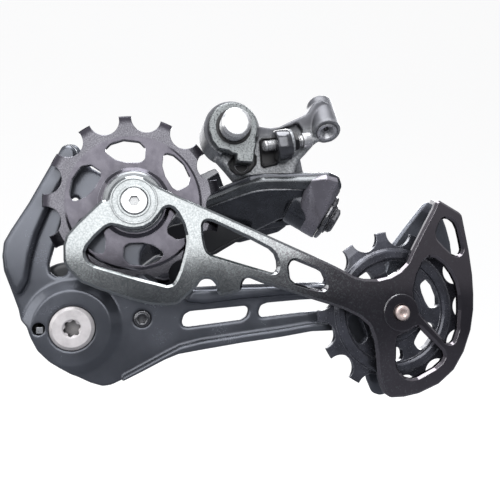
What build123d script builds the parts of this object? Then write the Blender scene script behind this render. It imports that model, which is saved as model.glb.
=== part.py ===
from build123d import *
import os
from math import sin, cos, acos, pi, hypot, tan, radians, degrees

# Rear derailleur with a long, damped cage.  Millimetres.
# Origin: on the mounting-bolt axis, at the inboard face of the stop plate (against the hanger).
# +X rearward, +Y outboard (away from the wheel), +Z up.
# Places on a Y axis are (x, z) pairs; "_IN" and "_OUT" on a Y value mean inboard and outboard.

# ---- driving dimensions -------------------------------------------------
RUN = 0.05                    # radial running clearance

# pulleys and cage
TEETH = 13
TIP_R = 27.5                  # pulley tip radius
VALLEY_CIRCLE_R = 27.15       # circle that carries the roller valleys
VALLEY_R = 4.6
HUB_HALF = 3.2                # half width of the pulley hubs
GUIDE = (-32.6, -27.2)        # guide pulley centre
TENSION = (55.2, -62.8)       # tension pulley centre
PIVOT = (-51.7, -66.65)       # cage pivot
CHAIN_Y = -5.0                # chain plane
INNER_IN, INNER_OUT = -11.3, -9.3    # faces of the inner cage plate
OUTER_IN, OUTER_OUT = 0.7, 2.9       # faces of the outer cage plate
PULLEY_BOLT_R = 2.5           # M5
PULLEY_BOLT_BORE = PULLEY_BOLT_R + RUN
GUIDE_BUSH_R = 8.0
TENSION_BEARING_R = 7.0
TAIL_HOLE = (-61.6, -66.6)    # hole for the spring tail
STOP = (-30.1, -64.3)         # cage stop screw
AXLE_R = 5.0                  # cage axle

# damper housing
HOUSE_IN, HOUSE_OUT = 5.2, 30.0
HOUSE_R = 13.2                # about the cage pivot
LOBE, LOBE_R = (-53.2, -58.0), 12.4  # its upper lobe
LEVER = (PIVOT[0] + 1.5, PIVOT[1] - 3.0)

# mounting
MOUNT = (0.0, 0.0)
MOUNT_BOLT_R = 5.0            # M10 x 1 mounting thread
BRACKET_IN, BRACKET_OUT = 3.3, 21.0


def square_to(vector, axis):
    """Unit vector: the part of vector that is square to axis."""
    return (vector - axis * vector.dot(axis)).normalized()


# parallelogram: the links swing about PIN_DIR, from NEUTRAL towards SWING
LINK = 44.0                   # link length between pins
PIN_R = 2.0
PIN_GAP = 11.0                # inner to outer pin, along SWING
NEUTRAL = Vector(-0.8645, 0, -0.5026)               # link direction at zero angle
SWING = square_to(Vector(0, 0.70, 0.714), NEUTRAL)  # outboard and up
PIN_DIR = NEUTRAL.cross(SWING).normalized()         # outboard and down


def link_direction(angle):
    return NEUTRAL * cos(radians(angle)) + SWING * sin(radians(angle))


LINK_DIR = link_direction(30.0)                     # at rest
LINK_NORM = PIN_DIR.cross(LINK_DIR).normalized()    # outboard and up
REAR_IN = Vector(34.0, 13.0, -19.5)
REAR_OUT = REAR_IN + SWING * PIN_GAP
FRONT_IN = REAR_IN + LINK_DIR * LINK
FRONT_OUT = REAR_OUT + LINK_DIR * LINK
# ranges along the pins
SPAN_IN = (-18.0, 12.0)       # inner link's web
SPAN_OUT = (5.0, 25.0)        # outer link's web
EARS_IN = ((-3.5, -0.5), (9.0, 12.0))
EARS_OUT = ((9.0, 12.0), (22.0, 25.0))
BOSS_START, BOSS_END = -0.25, 8.75   # bosses between the ears
EAR_R = 4.7
LINK_START, LINK_END = -EAR_R, LINK + EAR_R

# cable clamp on the inner link
CLAMP_DIR = Vector(0.83, -0.25, -0.50).normalized()
CLAMP_FACE = Vector(36.6, 12.0, -28.8)              # face centre
CLAMP_R = 9.2                                       # boss radius

# bracket's screws and cable stop
ADJUST_DIR = Vector(0.982, 0, 0.188).normalized()
ADJUST_TIP = Vector(10.9, 3.2, -5.6)
CABLE_DIR = Vector(0.03, 0.62, 0.784).normalized()
CABLE_SEAT = Vector(35.0, 5.0, 1.1)
LIMITS = [REAR_IN + NEUTRAL * 4.6 + PIN_DIR * along for along in (-3.6, -9.6)]


# ---- helpers ------------------------------------------------------------
def around(center, radius, angles):
    """Points on a circle, at angles in degrees."""
    return [(center[0] + radius * cos(radians(angle)), center[1] + radius * sin(radians(angle)))
            for angle in angles]


def rounded(points, radius):
    """Closed face through the points, with tangent arcs at its corners."""
    corners = []                     # (start of arc, middle or None, end of arc)
    for i, point in enumerate(points):
        before, after = points[i - 1], points[(i + 1) % len(points)]
        back = Vector(before[0] - point[0], before[1] - point[1])
        ahead = Vector(after[0] - point[0], after[1] - point[1])
        back_len, ahead_len = back.length, ahead.length
        back, ahead = back / back_len, ahead / ahead_len
        half = 0.5 * acos(max(-1.0, min(1.0, back.dot(ahead))))
        if half > radians(89.3) or radius <= 0:
            corners.append((point, None, point))
            continue
        trim = min(radius / tan(half), 0.47 * back_len, 0.47 * ahead_len)
        arc_r = trim * tan(half)
        start = (point[0] + back.X * trim, point[1] + back.Y * trim)
        end = (point[0] + ahead.X * trim, point[1] + ahead.Y * trim)
        inward = (back + ahead).normalized()
        middle = Vector(point[0], point[1]) + inward * (arc_r / sin(half)) - inward * arc_r
        corners.append((start, (middle.X, middle.Y), end))
    edges = []
    for i, (start, middle, end) in enumerate(corners):
        if middle is not None:
            edges.append(ThreePointArc(start, middle, end))
        following = corners[(i + 1) % len(corners)][0]
        if hypot(following[0] - end[0], following[1] - end[1]) > 1e-5:
            edges.append(Line(end, following))
    return Face(Wire([edge.edge() for edge in edges]))


def prism(plane, points, radius, vector):
    """Rounded outline drawn in a plane, extruded along a vector."""
    face = plane * rounded(points, radius)
    return Solid.extrude(face.faces()[0], vector)


def outline(points, radius, y_in, y_out):
    """Plate between two Y values from an (x, z) outline."""
    plane = Plane(origin=(0, y_out, 0), x_dir=(1, 0, 0), z_dir=(0, -1, 0))
    return prism(plane, points, radius, Vector(0, y_in - y_out, 0))


def cyl(center, y_in, y_out, radius):
    plane = Plane(origin=(center[0], y_in, center[1]), z_dir=(0, 1, 0))
    return Solid.make_cylinder(radius, y_out - y_in, plane)


def tube(center, y_in, y_out, radius, bore):
    return cyl(center, y_in, y_out, radius) - cyl(center, y_in - 1, y_out + 1, bore)


def cone(center, y_in, y_out, radius_in, radius_out):
    plane = Plane(origin=(center[0], y_in, center[1]), z_dir=(0, 1, 0))
    return Solid.make_cone(radius_in, radius_out, y_out - y_in, plane)


def rod(point, direction, radius, length):
    return Solid.make_cylinder(radius, length, Plane(origin=point, z_dir=direction))


def revolve_y(center, profile):
    """Revolve a (radius, y) profile about the Y axis through center."""
    wire = Wire.make_polygon([Vector(center[0] + r, y, center[1]) for r, y in profile], close=True)
    return Solid.revolve(Face(wire), 360, Axis((center[0], 0, center[1]), (0, 1, 0)))


def hex_prism(center, y_in, y_out, across_flats):
    corner_r = across_flats / 2 / cos(pi / 6)
    return outline(around(center, corner_r, range(0, 360, 60)), 0, y_in, y_out)


def hex_socket(plane, corner_r, depth):
    return prism(plane, around((0, 0), corner_r, range(0, 360, 60)), 0, plane.z_dir * depth)


def six_lobe(center, y_in, y_out, radius):
    """Six-lobe drive recess."""
    recess = cyl(center, y_in, y_out, radius * 0.78)
    for lobe in around(center, 0.72 * radius, [60 * k + degrees(0.3) for k in range(6)]):
        recess = recess + cyl(lobe, y_in, y_out, radius * 0.28)
    return recess


def chamfered(shape, edges, size):
    # guards against a chamfer that the kernel refuses: the shape is then left as it is
    try:
        result = shape.chamfer(size, None, edges)
        if result.is_valid and result.volume > 0:
            return result
    except Exception:
        pass
    return shape


def filleted(shape, edges, size):
    # guards against a fillet that the kernel refuses: smaller radii follow, then none
    for scale in (1.0, 0.6, 0.35):
        try:
            result = shape.fillet(size * scale, edges)
            if result.is_valid and result.volume > 0:
                return result
        except Exception:
            pass
    return shape


def largest(shape):
    return max(shape.solids(), key=lambda solid: solid.volume)


def edges_at_y(shape, y, tol=0.02):
    """Edges that lie wholly in the plane Y = y."""
    found = []
    for edge in shape.edges():
        box = edge.bounding_box()
        if abs(box.min.Y - y) < tol and abs(box.max.Y - y) < tol:
            found.append(edge)
    return found


def edges_in_plane(shape, origin, normal, tol=0.02):
    return [edge for edge in shape.edges()
            if all(abs((edge.position_at(t) - origin).dot(normal)) < tol for t in (0.0, 0.5, 1.0))]


def rim_at(shape, point):
    """Circular rim centred on the point."""
    return [edge for edge in shape.edges() if (edge.center() - point).length < 0.5]


def nearest_long_edge(shape, target):
    edges = [edge for edge in shape.edges() if edge.length > 15]
    return sorted(edges, key=lambda edge: (edge.center() - target).length)[:1]


def chamfer_y(shape, y, size):
    return largest(chamfered(shape, edges_at_y(shape, y), size))


# The link frame has x along the given direction, y square to it and z along the pins.
def link_box(origin, x_range, y_range, z_range, along):
    corner = (origin + along * x_range[0] + PIN_DIR.cross(along) * y_range[0]
              + PIN_DIR * z_range[0])
    sizes = [end - start for start, end in (x_range, y_range, z_range)]
    return Solid.make_box(*sizes, Plane(origin=corner, x_dir=along, z_dir=PIN_DIR))


def link_prism(origin, points, radius, start, end, along=LINK_DIR):
    plane = Plane(origin=origin + PIN_DIR * start, x_dir=along, z_dir=PIN_DIR)
    return prism(plane, points, radius, PIN_DIR * (end - start))


def web_plate(origin, points, radius, thickness):
    """Plate from an (along the link, along the pins) outline."""
    plane = Plane(origin=origin, x_dir=LINK_DIR, z_dir=LINK_NORM)
    # this plane's y runs against PIN_DIR
    return prism(plane, [(x, -z) for x, z in points], radius, LINK_NORM * thickness)


def pin_rod(pin, start, end, radius):
    return rod(pin + PIN_DIR * start, PIN_DIR, radius, end - start)


def bore_pins(body, pins, radius, end=40):
    for pin in pins:
        body = body - pin_rod(pin, -20, end, radius)
    return body


def clear_links(body, pin_in, pin_out, reach_in, reach_out):
    """Cut the room that both link webs need through their travel."""
    room_in = (SPAN_IN[0] - 0.6, SPAN_IN[1] + 0.6)
    room_out = (SPAN_OUT[0] - 0.6, SPAN_OUT[1] + 0.6)
    for angle in range(-42, 31, 6):
        along = link_direction(angle)
        body = body - link_box(pin_in, reach_in, (-9.2, -4.75), room_in, along)
        body = body - link_box(pin_out, reach_out, (4.6, 8.2), room_out, along)
    return body


def save(name, *shapes):
    solids = [solid for shape in shapes for solid in shape.solids()]
    piece = solids[0] if len(solids) == 1 else Compound(children=solids)
    export_step(piece, f"parts/{name}.step")


os.makedirs("parts", exist_ok=True)


# ---- pulleys ------------------------------------------------------------
def half_section(bore, hub_r, middle, edge_half):
    """(radius, y from the chain plane) of a pulley's inboard half, bore to tip."""
    return ([(bore, -HUB_HALF), (hub_r, -HUB_HALF)] + middle
            + [(TIP_R - 0.3, -edge_half), (TIP_R, -0.35)])


def pulley(center, phase, half, window, first_window):
    section = half + [(r, -y) for r, y in reversed(half)]
    wheel = revolve_y(center, [(r, CHAIN_Y + y) for r, y in section])
    valleys = [phase + 360.0 / TEETH * (k + 0.5) for k in range(TEETH)]
    for valley in around(center, VALLEY_CIRCLE_R, valleys):
        wheel = wheel - cyl(valley, CHAIN_Y - 5, CHAIN_Y + 5, VALLEY_R)
    for k in range(6):
        points = [around(center, r, [first_window + 60 * k + angle])[0] for angle, r in window]
        wheel = wheel - outline(points, 1.5, CHAIN_Y - 5, CHAIN_Y + 5)
    return largest(wheel)


# window outlines: (angle from the window's middle, radius)
GUIDE_WINDOW = [(21, 18.6), (12, 19.7), (0, 20.0), (-14, 19.4), (-21, 17.6), (-23, 14.0),
                (-17, 12.8), (2, 12.8), (14, 14.6)]
TENSION_WINDOW = [(19, 17.0), (7, 17.5), (-7, 17.5), (-19, 17.0), (-20, 13.4), (-8, 12.2),
                  (8, 12.2), (20, 13.4)]
GUIDE_HUB_R, TENSION_HUB_R = 9.9, 9.4
GUIDE_HALF = half_section(
    GUIDE_BUSH_R + RUN, GUIDE_HUB_R,
    [(GUIDE_HUB_R, -2.0), (GUIDE_HUB_R + 1.2, -1.35), (20.4, -1.35), (21.2, -1.15),
     (24.2, -1.15)], 0.62)
TENSION_HALF = half_section(
    TENSION_BEARING_R + RUN, TENSION_HUB_R,
    [(TENSION_HUB_R + 0.8, -2.4), (TENSION_HUB_R + 1.4, -1.2), (17.6, -1.2), (18.0, -1.9),
     (18.6, -2.2), (20.6, -2.2), (21.2, -1.9), (21.7, -1.15), (24.4, -1.0)], 0.6)
save("guide_pulley", pulley(GUIDE, 96.5, GUIDE_HALF, GUIDE_WINDOW, 100))
save("tension_pulley", pulley(TENSION, 99.7, TENSION_HALF, TENSION_WINDOW, 23))

# ---- pulley bearings ----------------------------------------------------
# the outer sleeve turns with the pulley, the inner sleeve is clamped by the bolt
save("guide_bush_outer",
     tube(GUIDE, CHAIN_Y - HUB_HALF, CHAIN_Y + HUB_HALF, GUIDE_BUSH_R, 4.6))
save("guide_bush_inner", tube(GUIDE, INNER_OUT + 0.9, OUTER_IN - 0.9, 4.55, PULLEY_BOLT_BORE))
save("tension_bearing_outer",
     tube(TENSION, CHAIN_Y - 2.5, CHAIN_Y + 2.5, TENSION_BEARING_R, 5.6))
save("tension_bearing_inner", tube(TENSION, CHAIN_Y - 3.3, CHAIN_Y + 3.3, 3.9, PULLEY_BOLT_BORE))
save("tension_bearing_balls", *[
    Solid.make_sphere(0.72, Plane((x, CHAIN_Y, z)))
    for x, z in around(TENSION, 4.75, [360 * k / 7 for k in range(7)])])


def dust_caps(center, profile):
    """Stepped caps on both plates; profile is (radius, distance from the plate)."""
    return (revolve_y(center, [(r, INNER_OUT + gap) for r, gap in profile]),
            revolve_y(center, [(r, OUTER_IN - gap) for r, gap in profile]))


save("guide_dust_caps", *dust_caps(GUIDE, [
    (PULLEY_BOLT_BORE, 0.03), (6.9, 0.03), (7.2, 0.38), (8.9, 0.38), (9.5, 0.73), (9.5, 0.89),
    (PULLEY_BOLT_BORE, 0.89)]))
save("tension_dust_caps", *dust_caps(TENSION, [
    (PULLEY_BOLT_BORE, 0.03), (6.4, 0.03), (7.6, 0.6), (7.6, 0.96), (PULLEY_BOLT_BORE, 0.96)]))

# ---- inner cage plate ---------------------------------------------------
# outlines are (x, z)
INNER_PLATE = [
    (-42.3, -27.1), (-49.2, -34.1), (-52.2, -37.7), (-53.1, -40.7), (-53.0, -45.7),
    (-51.6, -48.1), (-48.2, -51.7), (-42.5, -54.1), (-33.7, -57.2), (-27.8, -58.8),
    (-23.3, -59.2), (-19.3, -58.9), (-13.5, -53.5), (-12.3, -51.6), (-11.0, -51.0),
    (-8.8, -51.2), (-7.2, -53.1), (-6.9, -56.7), (0.7, -54.9), (1.0, -52.4), (1.9, -51.0),
    (3.3, -50.8), (7.2, -52.4), (16.4, -55.4), (23.1, -57.6), (30.3, -59.8), (35.2, -61.5),
    (40.4, -64.0), (43.9, -67.0), (45.7, -71.7), (46.4, -76.7), (46.7, -81.7), (47.8, -86.7),
    (49.2, -89.6), (51.5, -91.2), (56.4, -91.2), (61.9, -90.3), (69.4, -87.4), (75.1, -82.9),
    (79.0, -76.8), (81.7, -69.4), (82.8, -62.5), (82.9, -57.0), (82.5, -50.3), (81.2, -41.7),
    (79.7, -34.7), (78.6, -29.5), (77.5, -28.5), (69.9, -24.5), (68.7, -25.0), (67.8, -27.3),
    (63.8, -34.3), (59.7, -41.7), (57.8, -45.8), (54.8, -48.7), (51.2, -50.6), (46.9, -51.5),
    (42.2, -51.4), (38.8, -50.6), (35.2, -48.7), (30.0, -46.1), (16.4, -40.3), (0.1, -33.3),
    (-11.0, -28.6), (-18.8, -25.5), (-24.6, -22.9),
    # the hub end follows a round boss about the guide pulley axis
    *around(GUIDE, 7.9, (48, 68, 88, 108, 128, 148, 165, 178))]
INNER_WINDOWS = [
    # below the guide pulley axis
    [(-46.8, -42.7), (-46.2, -41.0), (-43.9, -38.1), (-41.1, -35.4), (-39.5, -34.6),
     (-37.3, -35.0), (-34.9, -35.7), (-32.6, -35.9), (-29.6, -35.4), (-27.0, -33.8),
     (-24.9, -31.2), (-23.6, -29.3), (-22.2, -28.7), (-20.9, -29.2), (-19.4, -30.9),
     (-17.8, -34.0), (-16.9, -37.4), (-16.7, -39.5), (-17.2, -42.7), (-18.7, -48.2),
     (-19.9, -51.0), (-21.0, -52.5), (-22.6, -52.9), (-30.8, -50.7), (-43.9, -46.7),
     (-45.8, -45.5), (-46.7, -44.0)],
    # two along the arm
    [(-11.6, -34.4), (-11.2, -33.2), (-10.0, -32.8), (-8.3, -33.2), (3.3, -38.3), (9.6, -41.5),
     (11.4, -43.2), (12.2, -45.4), (12.4, -47.8), (11.7, -49.1), (10.4, -49.1), (0.1, -46.1),
     (-8.6, -43.5), (-10.1, -42.5), (-10.8, -40.8), (-11.4, -37.6)],
    [(16.2, -47.3), (17.0, -45.5), (18.4, -45.2), (25.9, -48.2), (27.4, -49.1), (28.3, -51.0),
     (28.8, -53.6), (28.2, -54.8), (25.9, -54.7), (18.4, -52.6), (16.7, -51.2)],
    # behind the tension pulley axis
    [(63.6, -45.8), (61.4, -50.2), (60.1, -55.3), (60.7, -60.0), (62.0, -62.7), (63.9, -65.0),
     (69.5, -70.7), (72.0, -73.3), (73.5, -73.9), (74.9, -73.1), (76.4, -69.2), (76.9, -62.3),
     (76.8, -57.2), (76.0, -53.2), (74.2, -49.8), (71.6, -46.6), (68.6, -44.5), (65.8, -43.9)],
    # below it
    [(53.8, -71.6), (53.7, -75.5), (53.6, -79.0), (54.0, -81.2), (55.1, -83.2), (57.0, -84.6),
     (59.2, -85.2), (61.4, -84.8), (67.6, -81.9), (70.2, -79.9), (71.3, -78.1), (70.8, -76.3),
     (63.9, -69.6), (62.3, -68.0), (60.7, -67.8), (57.6, -69.6), (54.9, -70.6)],
    # in the rear horn
    [(69.8, -32.8), (70.8, -31.2), (72.4, -30.7), (74.0, -31.0), (75.6, -32.2), (76.7, -34.4),
     (77.4, -37.2), (78.0, -39.9), (78.3, -41.6), (77.7, -43.0), (76.2, -43.6), (74.6, -43.0),
     (71.6, -40.5), (69.1, -38.0), (68.6, -35.8)]]
HORN_FLANGE = [(69.6, -25.0), (78.2, -29.4), (79.0, -31.6), (69.0, -26.5)]


def inner_cage_plate():
    plate = outline(INNER_PLATE, 2.5, INNER_IN, INNER_OUT)
    for window in INNER_WINDOWS:
        plate = plate - outline(window, 1.6, INNER_IN - 2, INNER_OUT + 2)
    plate = chamfer_y(largest(plate), INNER_IN, 0.75)
    # raised bosses round both bolts, with a groove and a head seat at the guide bolt
    plate = plate + cyl(GUIDE, INNER_IN - 0.45, INNER_OUT, 7.0)
    plate = plate + cyl(TENSION, INNER_IN - 0.35, INNER_OUT, 6.2)
    plate = plate - tube(GUIDE, INNER_IN - 1, INNER_IN - 0.22, 6.6, 4.9)
    plate = plate - cyl(GUIDE, INNER_IN - 1, INNER_IN + 1.0, 4.25)
    plate = plate - cyl(GUIDE, INNER_IN - 2, INNER_OUT + 1, PULLEY_BOLT_R + 0.08)
    plate = plate - cyl(TENSION, INNER_IN - 2, INNER_OUT + 1, 2.95)
    # flange along the top of the rear horn, turned towards the outer plate
    wire = Wire.make_polygon([Vector(x, INNER_OUT - 0.6, z) for x, z in HORN_FLANGE], close=True)
    return largest(plate + Solid.extrude(Face(wire), Vector(1.2, 6.0, 1.6)))


save("inner_cage_plate", inner_cage_plate())

# ---- outer cage plate ---------------------------------------------------
OUTER_PLATE = [
    (-55.9, -9.8), (-55.2, -8.7), (-53.6, -8.0), (-51.6, -8.0), (-50.2, -8.9), (-49.0, -10.6),
    (-46.4, -15.4), (-42.6, -17.3), (-38.5, -19.0),
    *around(GUIDE, 9.6, (110, 90, 70, 50, 30, 10, -10, -30)),
    (-26.2, -36.0), (-28.3, -39.6), (-30.3, -43.0), (-30.6, -46.5), (-28.6, -50.2),
    (-24.6, -53.0), (-19.0, -54.4), (-12.3, -54.1), (2.3, -53.4), (16.0, -53.2), (30.0, -52.8),
    (37.0, -53.4), (43.0, -55.2), (48.0, -55.8), (52.0, -54.0), (55.0, -50.0), (56.6, -45.0),
    (58.6, -39.3), (64.5, -32.0), (71.2, -24.2), (73.0, -23.6), (76.0, -25.6), (78.2, -28.6),
    (80.0, -33.0), (81.6, -38.6), (82.2, -43.4), (80.6, -46.4), (74.0, -49.6), (67.0, -53.6),
    (63.4, -58.0), (62.6, -62.8), (61.4, -67.4), (59.0, -71.4), (58.0, -76.0), (57.8, -84.0),
    (57.6, -90.6), (56.2, -93.0), (53.4, -93.5), (50.6, -92.6), (48.6, -88.0), (47.0, -82.4),
    (44.8, -76.0), (40.4, -71.6), (34.8, -69.2), (27.0, -69.3), (16.3, -70.9), (2.3, -72.5),
    (-11.2, -74.4), (-18.5, -75.5), (-22.7, -77.1), (-29.8, -80.6), (-37.0, -84.2),
    (-39.8, -85.4), (-42.5, -85.7), (-46.3, -84.4), (-52.4, -81.2), (-58.5, -76.9),
    (-62.0, -73.3), (-64.2, -69.0), (-65.3, -66.0), (-67.3, -64.0), (-68.0, -60.6),
    (-70.4, -53.8), (-72.2, -48.6), (-72.8, -43.9), (-72.4, -39.6), (-70.5, -35.8),
    (-65.3, -27.2), (-61.8, -20.5), (-58.9, -15.0), (-56.8, -11.8)]
LOOP_OPENING = [
    (-52.2, -25.3), (-50.8, -24.9), (-49.9, -26.4), (-50.8, -33.0), (-52.2, -39.0),
    (-53.0, -45.0), (-53.6, -49.6), (-55.0, -50.3), (-56.9, -50.4), (-58.5, -49.2),
    (-59.0, -46.8), (-57.8, -42.0), (-56.4, -37.6), (-54.6, -31.4)]
FRONT_SLOT = [
    (-17.2, -65.6), (-16.5, -63.3), (-14.6, -62.2), (4.4, -60.7), (5.4, -61.8), (4.8, -64.0),
    (2.7, -65.4), (-15.5, -67.3), (-16.9, -66.8)]
REAR_SLOT = [
    (8.9, -62.8), (9.6, -60.6), (12.0, -59.8), (23.5, -59.0), (33.0, -58.6), (36.2, -59.6),
    (36.6, -61.2), (34.2, -62.6), (23.5, -63.3), (10.4, -64.6), (9.1, -64.2)]
GUARD_LIP = [
    (-55.6, -10.2), (-54.4, -8.9), (-52.4, -8.5), (-50.6, -10.2), (-50.4, -12.8),
    (-52.4, -17.0), (-55.6, -22.4), (-59.4, -30.4), (-62.2, -37.4), (-64.0, -44.4),
    (-65.0, -51.6), (-67.6, -56.6), (-70.0, -53.6), (-71.9, -48.4), (-72.4, -43.9),
    (-72.0, -39.6), (-70.1, -36.0), (-64.9, -27.4), (-61.4, -20.7), (-58.5, -15.2),
    (-56.5, -12.0)]
UPPER_RIB = [
    (-14.0, -54.9), (2.3, -54.2), (16.0, -53.9), (30.0, -53.5), (36.0, -54.2), (36.0, -56.6),
    (30.0, -56.6), (16.0, -57.2), (2.3, -58.2), (-10.0, -59.6), (-17.0, -58.8)]
LOWER_FLANGE = [
    (-36.0, -82.6), (-29.0, -79.0), (-22.0, -75.4), (-17.8, -73.4), (-11.0, -71.9),
    (2.3, -70.2), (16.3, -68.6), (27.0, -67.1), (34.6, -66.9), (40.0, -68.8), (43.0, -71.8),
    (44.2, -74.9), (40.4, -71.9), (34.8, -69.6), (27.0, -69.7), (16.3, -71.3), (2.3, -72.9),
    (-11.2, -74.8), (-18.5, -75.9), (-22.7, -77.5), (-29.8, -81.0), (-36.6, -84.2)]


def outer_cage_plate():
    plate = outline(OUTER_PLATE, 2.2, OUTER_IN, OUTER_OUT)
    for opening, radius in ((LOOP_OPENING, 1.2), (FRONT_SLOT, 1.6), (REAR_SLOT, 1.6)):
        plate = plate - outline(opening, radius, OUTER_IN - 3, OUTER_OUT + 3)
    plate = chamfer_y(largest(plate), OUTER_IN, 0.5)
    # dome over the cage spring, raised inboard
    dome = cone(PIVOT, -1.2, OUTER_IN + 0.3, 12.0, 15.8)
    plate = plate + largest(dome & outline(OUTER_PLATE, 2.2, -2.0, OUTER_IN + 0.4))
    # chain guard lip on the front loop, then the stiffening rib along the upper edge
    for points, corner, y, size in ((GUARD_LIP, 1.6, -1.9, 1.1), (UPPER_RIB, 1.0, -0.9, 0.8)):
        raised = largest(outline(points, corner, y, OUTER_IN + 0.2))
        plate = plate + chamfer_y(raised, y, size)
    # rolled flange along the lower edge
    flange = largest(outline(LOWER_FLANGE, 0.9, -1.6, OUTER_IN + 0.2))
    plate = plate + largest(filleted(flange, edges_at_y(flange, -1.6), 0.8))
    # pulley bolt seats
    for center in (GUIDE, TENSION):
        plate = plate + cyl(center, OUTER_OUT - 0.2, OUTER_OUT + 1.6, 5.2)
    for center in (GUIDE, TENSION):
        plate = plate - cyl(center, OUTER_IN - 1, OUTER_OUT + 3, PULLEY_BOLT_BORE)
    # cage axle bore and bolt head recess, spring tail hole, stop screw hole
    plate = plate - cyl(PIVOT, -3, OUTER_OUT + 3, 5.03)
    plate = plate - cyl(PIVOT, -3, -0.55, 7.25)
    plate = plate - cyl(TAIL_HOLE, -4, OUTER_OUT + 3, 1.9)
    plate = plate - cyl(STOP, -4, OUTER_OUT + 3, 2.04)
    plate = plate - cyl(STOP, -4, OUTER_IN + 0.7, 2.75)
    return largest(plate)


save("outer_cage_plate", outer_cage_plate())


# ---- cage bolts and axle ------------------------------------------------
def guide_pulley_bolt():
    """Button head inboard, thread in the outer plate."""
    head, tip = INNER_IN - 0.65, OUTER_OUT + 1.6
    head_r, head_height = 4.15, 1.6
    bolt = revolve_y(GUIDE, [
        (0, head), (head_r - 0.35, head), (head_r, head + 0.35), (head_r, head + head_height),
        (PULLEY_BOLT_R, head + head_height), (PULLEY_BOLT_R, tip - 0.4),
        (PULLEY_BOLT_R - 0.4, tip), (0, tip)])
    return largest(bolt - hex_prism(GUIDE, head - 1, head + head_height * 1.1, 2.9))


def tension_pulley_bolt():
    """Driven from outboard; its end shows at the inner plate."""
    bolt = revolve_y(TENSION, [
        (0, OUTER_OUT + 3.9), (3.6, OUTER_OUT + 3.9), (4.0, OUTER_OUT + 3.5),
        (4.0, OUTER_OUT + 1.63), (PULLEY_BOLT_R, OUTER_OUT + 1.63),
        (PULLEY_BOLT_R, INNER_IN - 1.2), (PULLEY_BOLT_R - 0.5, INNER_IN - 1.6),
        (0, INNER_IN - 1.6)])
    bolt = bolt - hex_prism(TENSION, OUTER_OUT + 2.2, OUTER_OUT + 5, 3.0)
    return largest(bolt - cone(TENSION, INNER_IN - 1.7, INNER_IN - 0.9, 1.5, 0.6))


def stopper_screw():
    screw = revolve_y(STOP, [
        (0, OUTER_IN - 1.0), (2.35, OUTER_IN - 1.0), (2.65, OUTER_IN - 0.7),
        (2.65, OUTER_IN + 0.65), (2.0, OUTER_IN + 0.65), (2.0, OUTER_OUT + 6.0),
        (0, OUTER_OUT + 6.0)])
    return largest(screw - hex_prism(STOP, OUTER_IN - 2, OUTER_IN + 0.2, 2.5))


def cage_axle_bolt():
    bolt = revolve_y(PIVOT, [
        (0, -1.75), (5.9, -1.75), (6.9, -0.95), (6.9, -0.6), (2.5, -0.6), (2.5, 18.0),
        (2.1, 18.4), (0, 18.4)])
    bolt = bolt - six_lobe(PIVOT, -3, 1.6, 2.7)
    return largest(bolt - cone(PIVOT, -1.76, -1.2, 3.0, 2.3))


save("guide_pulley_bolt", guide_pulley_bolt())
save("tension_pulley_bolt", tension_pulley_bolt())
save("stopper_screw", stopper_screw())
save("cage_axle", largest(
    cyl(PIVOT, OUTER_IN, HOUSE_OUT - 4.0, AXLE_R) - cyl(PIVOT, OUTER_IN - 3, HOUSE_OUT, 2.55)
    + tube(PIVOT, OUTER_OUT + 0.02, OUTER_OUT + 1.1, 7.4, 4.9)))
save("cage_axle_bolt", cage_axle_bolt())

# ---- inner link ---------------------------------------------------------
# (along the link, along the pins)
INNER_WEB = [
    (-9.2, -6.5), (-8.8, -10.0), (-5.6, -12.6), (0.5, -13.6), (16.3, -17.2), (21.6, -17.7),
    (32.6, -14.8), (40.0, -13.6), (LINK_END - 2, -12.4), (LINK_END, -10.0), (LINK_END, 12.0),
    (38.0, 12.0), (29.8, 11.2), (23.9, 8.4), (15.4, 5.0), (11.4, 4.4), (9.4, 5.4), (8.6, 8.5),
    (7.0, 12.0), (-3.0, 12.0), (-8.6, 0.0)]
# (along the link, along its normal): one ear plate over both pins, then one at each pin
INNER_EAR = [
    (LINK_START, -6.4), (LINK_START, 2.6), (-2.6, 4.5), (2.4, 4.4), (8.6, -1.6),
    (LINK - 8.6, -1.6), (LINK - 2.4, 4.4), (LINK + 2.6, 4.5), (LINK_END - 1.2, 2.6),
    (LINK_END - 1.2, -6.4)]
REAR_EAR = INNER_EAR[:4] + [(6.2, 0.2), (6.2, -6.4)]
FRONT_EAR = [(LINK - 9.0, -6.4)] + INNER_EAR[5:]


def inner_link():
    web_face = REAR_IN + LINK_NORM * -8.0
    link = web_plate(web_face, INNER_WEB, 2.4, 3.0)
    link = largest(chamfered(link, edges_in_plane(link, web_face, LINK_NORM), 1.9))
    link = link + link_prism(REAR_IN, INNER_EAR, 2.2, *EARS_IN[0])
    link = link + link_prism(REAR_IN, REAR_EAR, 2.0, *EARS_IN[1])
    link = link + link_prism(REAR_IN, FRONT_EAR, 2.0, *EARS_IN[1])
    # cable clamp boss
    boss_foot = CLAMP_FACE - CLAMP_DIR * 13.0
    boss = rod(boss_foot, CLAMP_DIR, CLAMP_R, 13.0)
    link = link + filleted(boss, rim_at(boss, boss_foot), 3.0)
    # room for the bracket, the clamp washer and the rear pin boss
    link = link - link_box(REAR_IN, (-26, 30), (-4.95, 24), (-22, -3.5 - 0.01), LINK_DIR)
    link = link - rod(CLAMP_FACE, CLAMP_DIR, 14.5, 25)
    link = link - pin_rod(REAR_IN, -0.5, 9.0, 4.75)
    link = link - link_box(REAR_IN, (-26, 24), (-1.0, 24), (-0.5, 9.0), LINK_DIR)
    link = link - link_box(REAR_IN, (-26, 24), (-0.4, 24), (12.0, 26), LINK_DIR)
    link = bore_pins(link, (REAR_IN, FRONT_IN), PIN_R + RUN, end=20)
    link = link - rod(CLAMP_FACE - CLAMP_DIR * 6.3, CLAMP_DIR, 2.55, 20)
    return largest(link)


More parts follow.
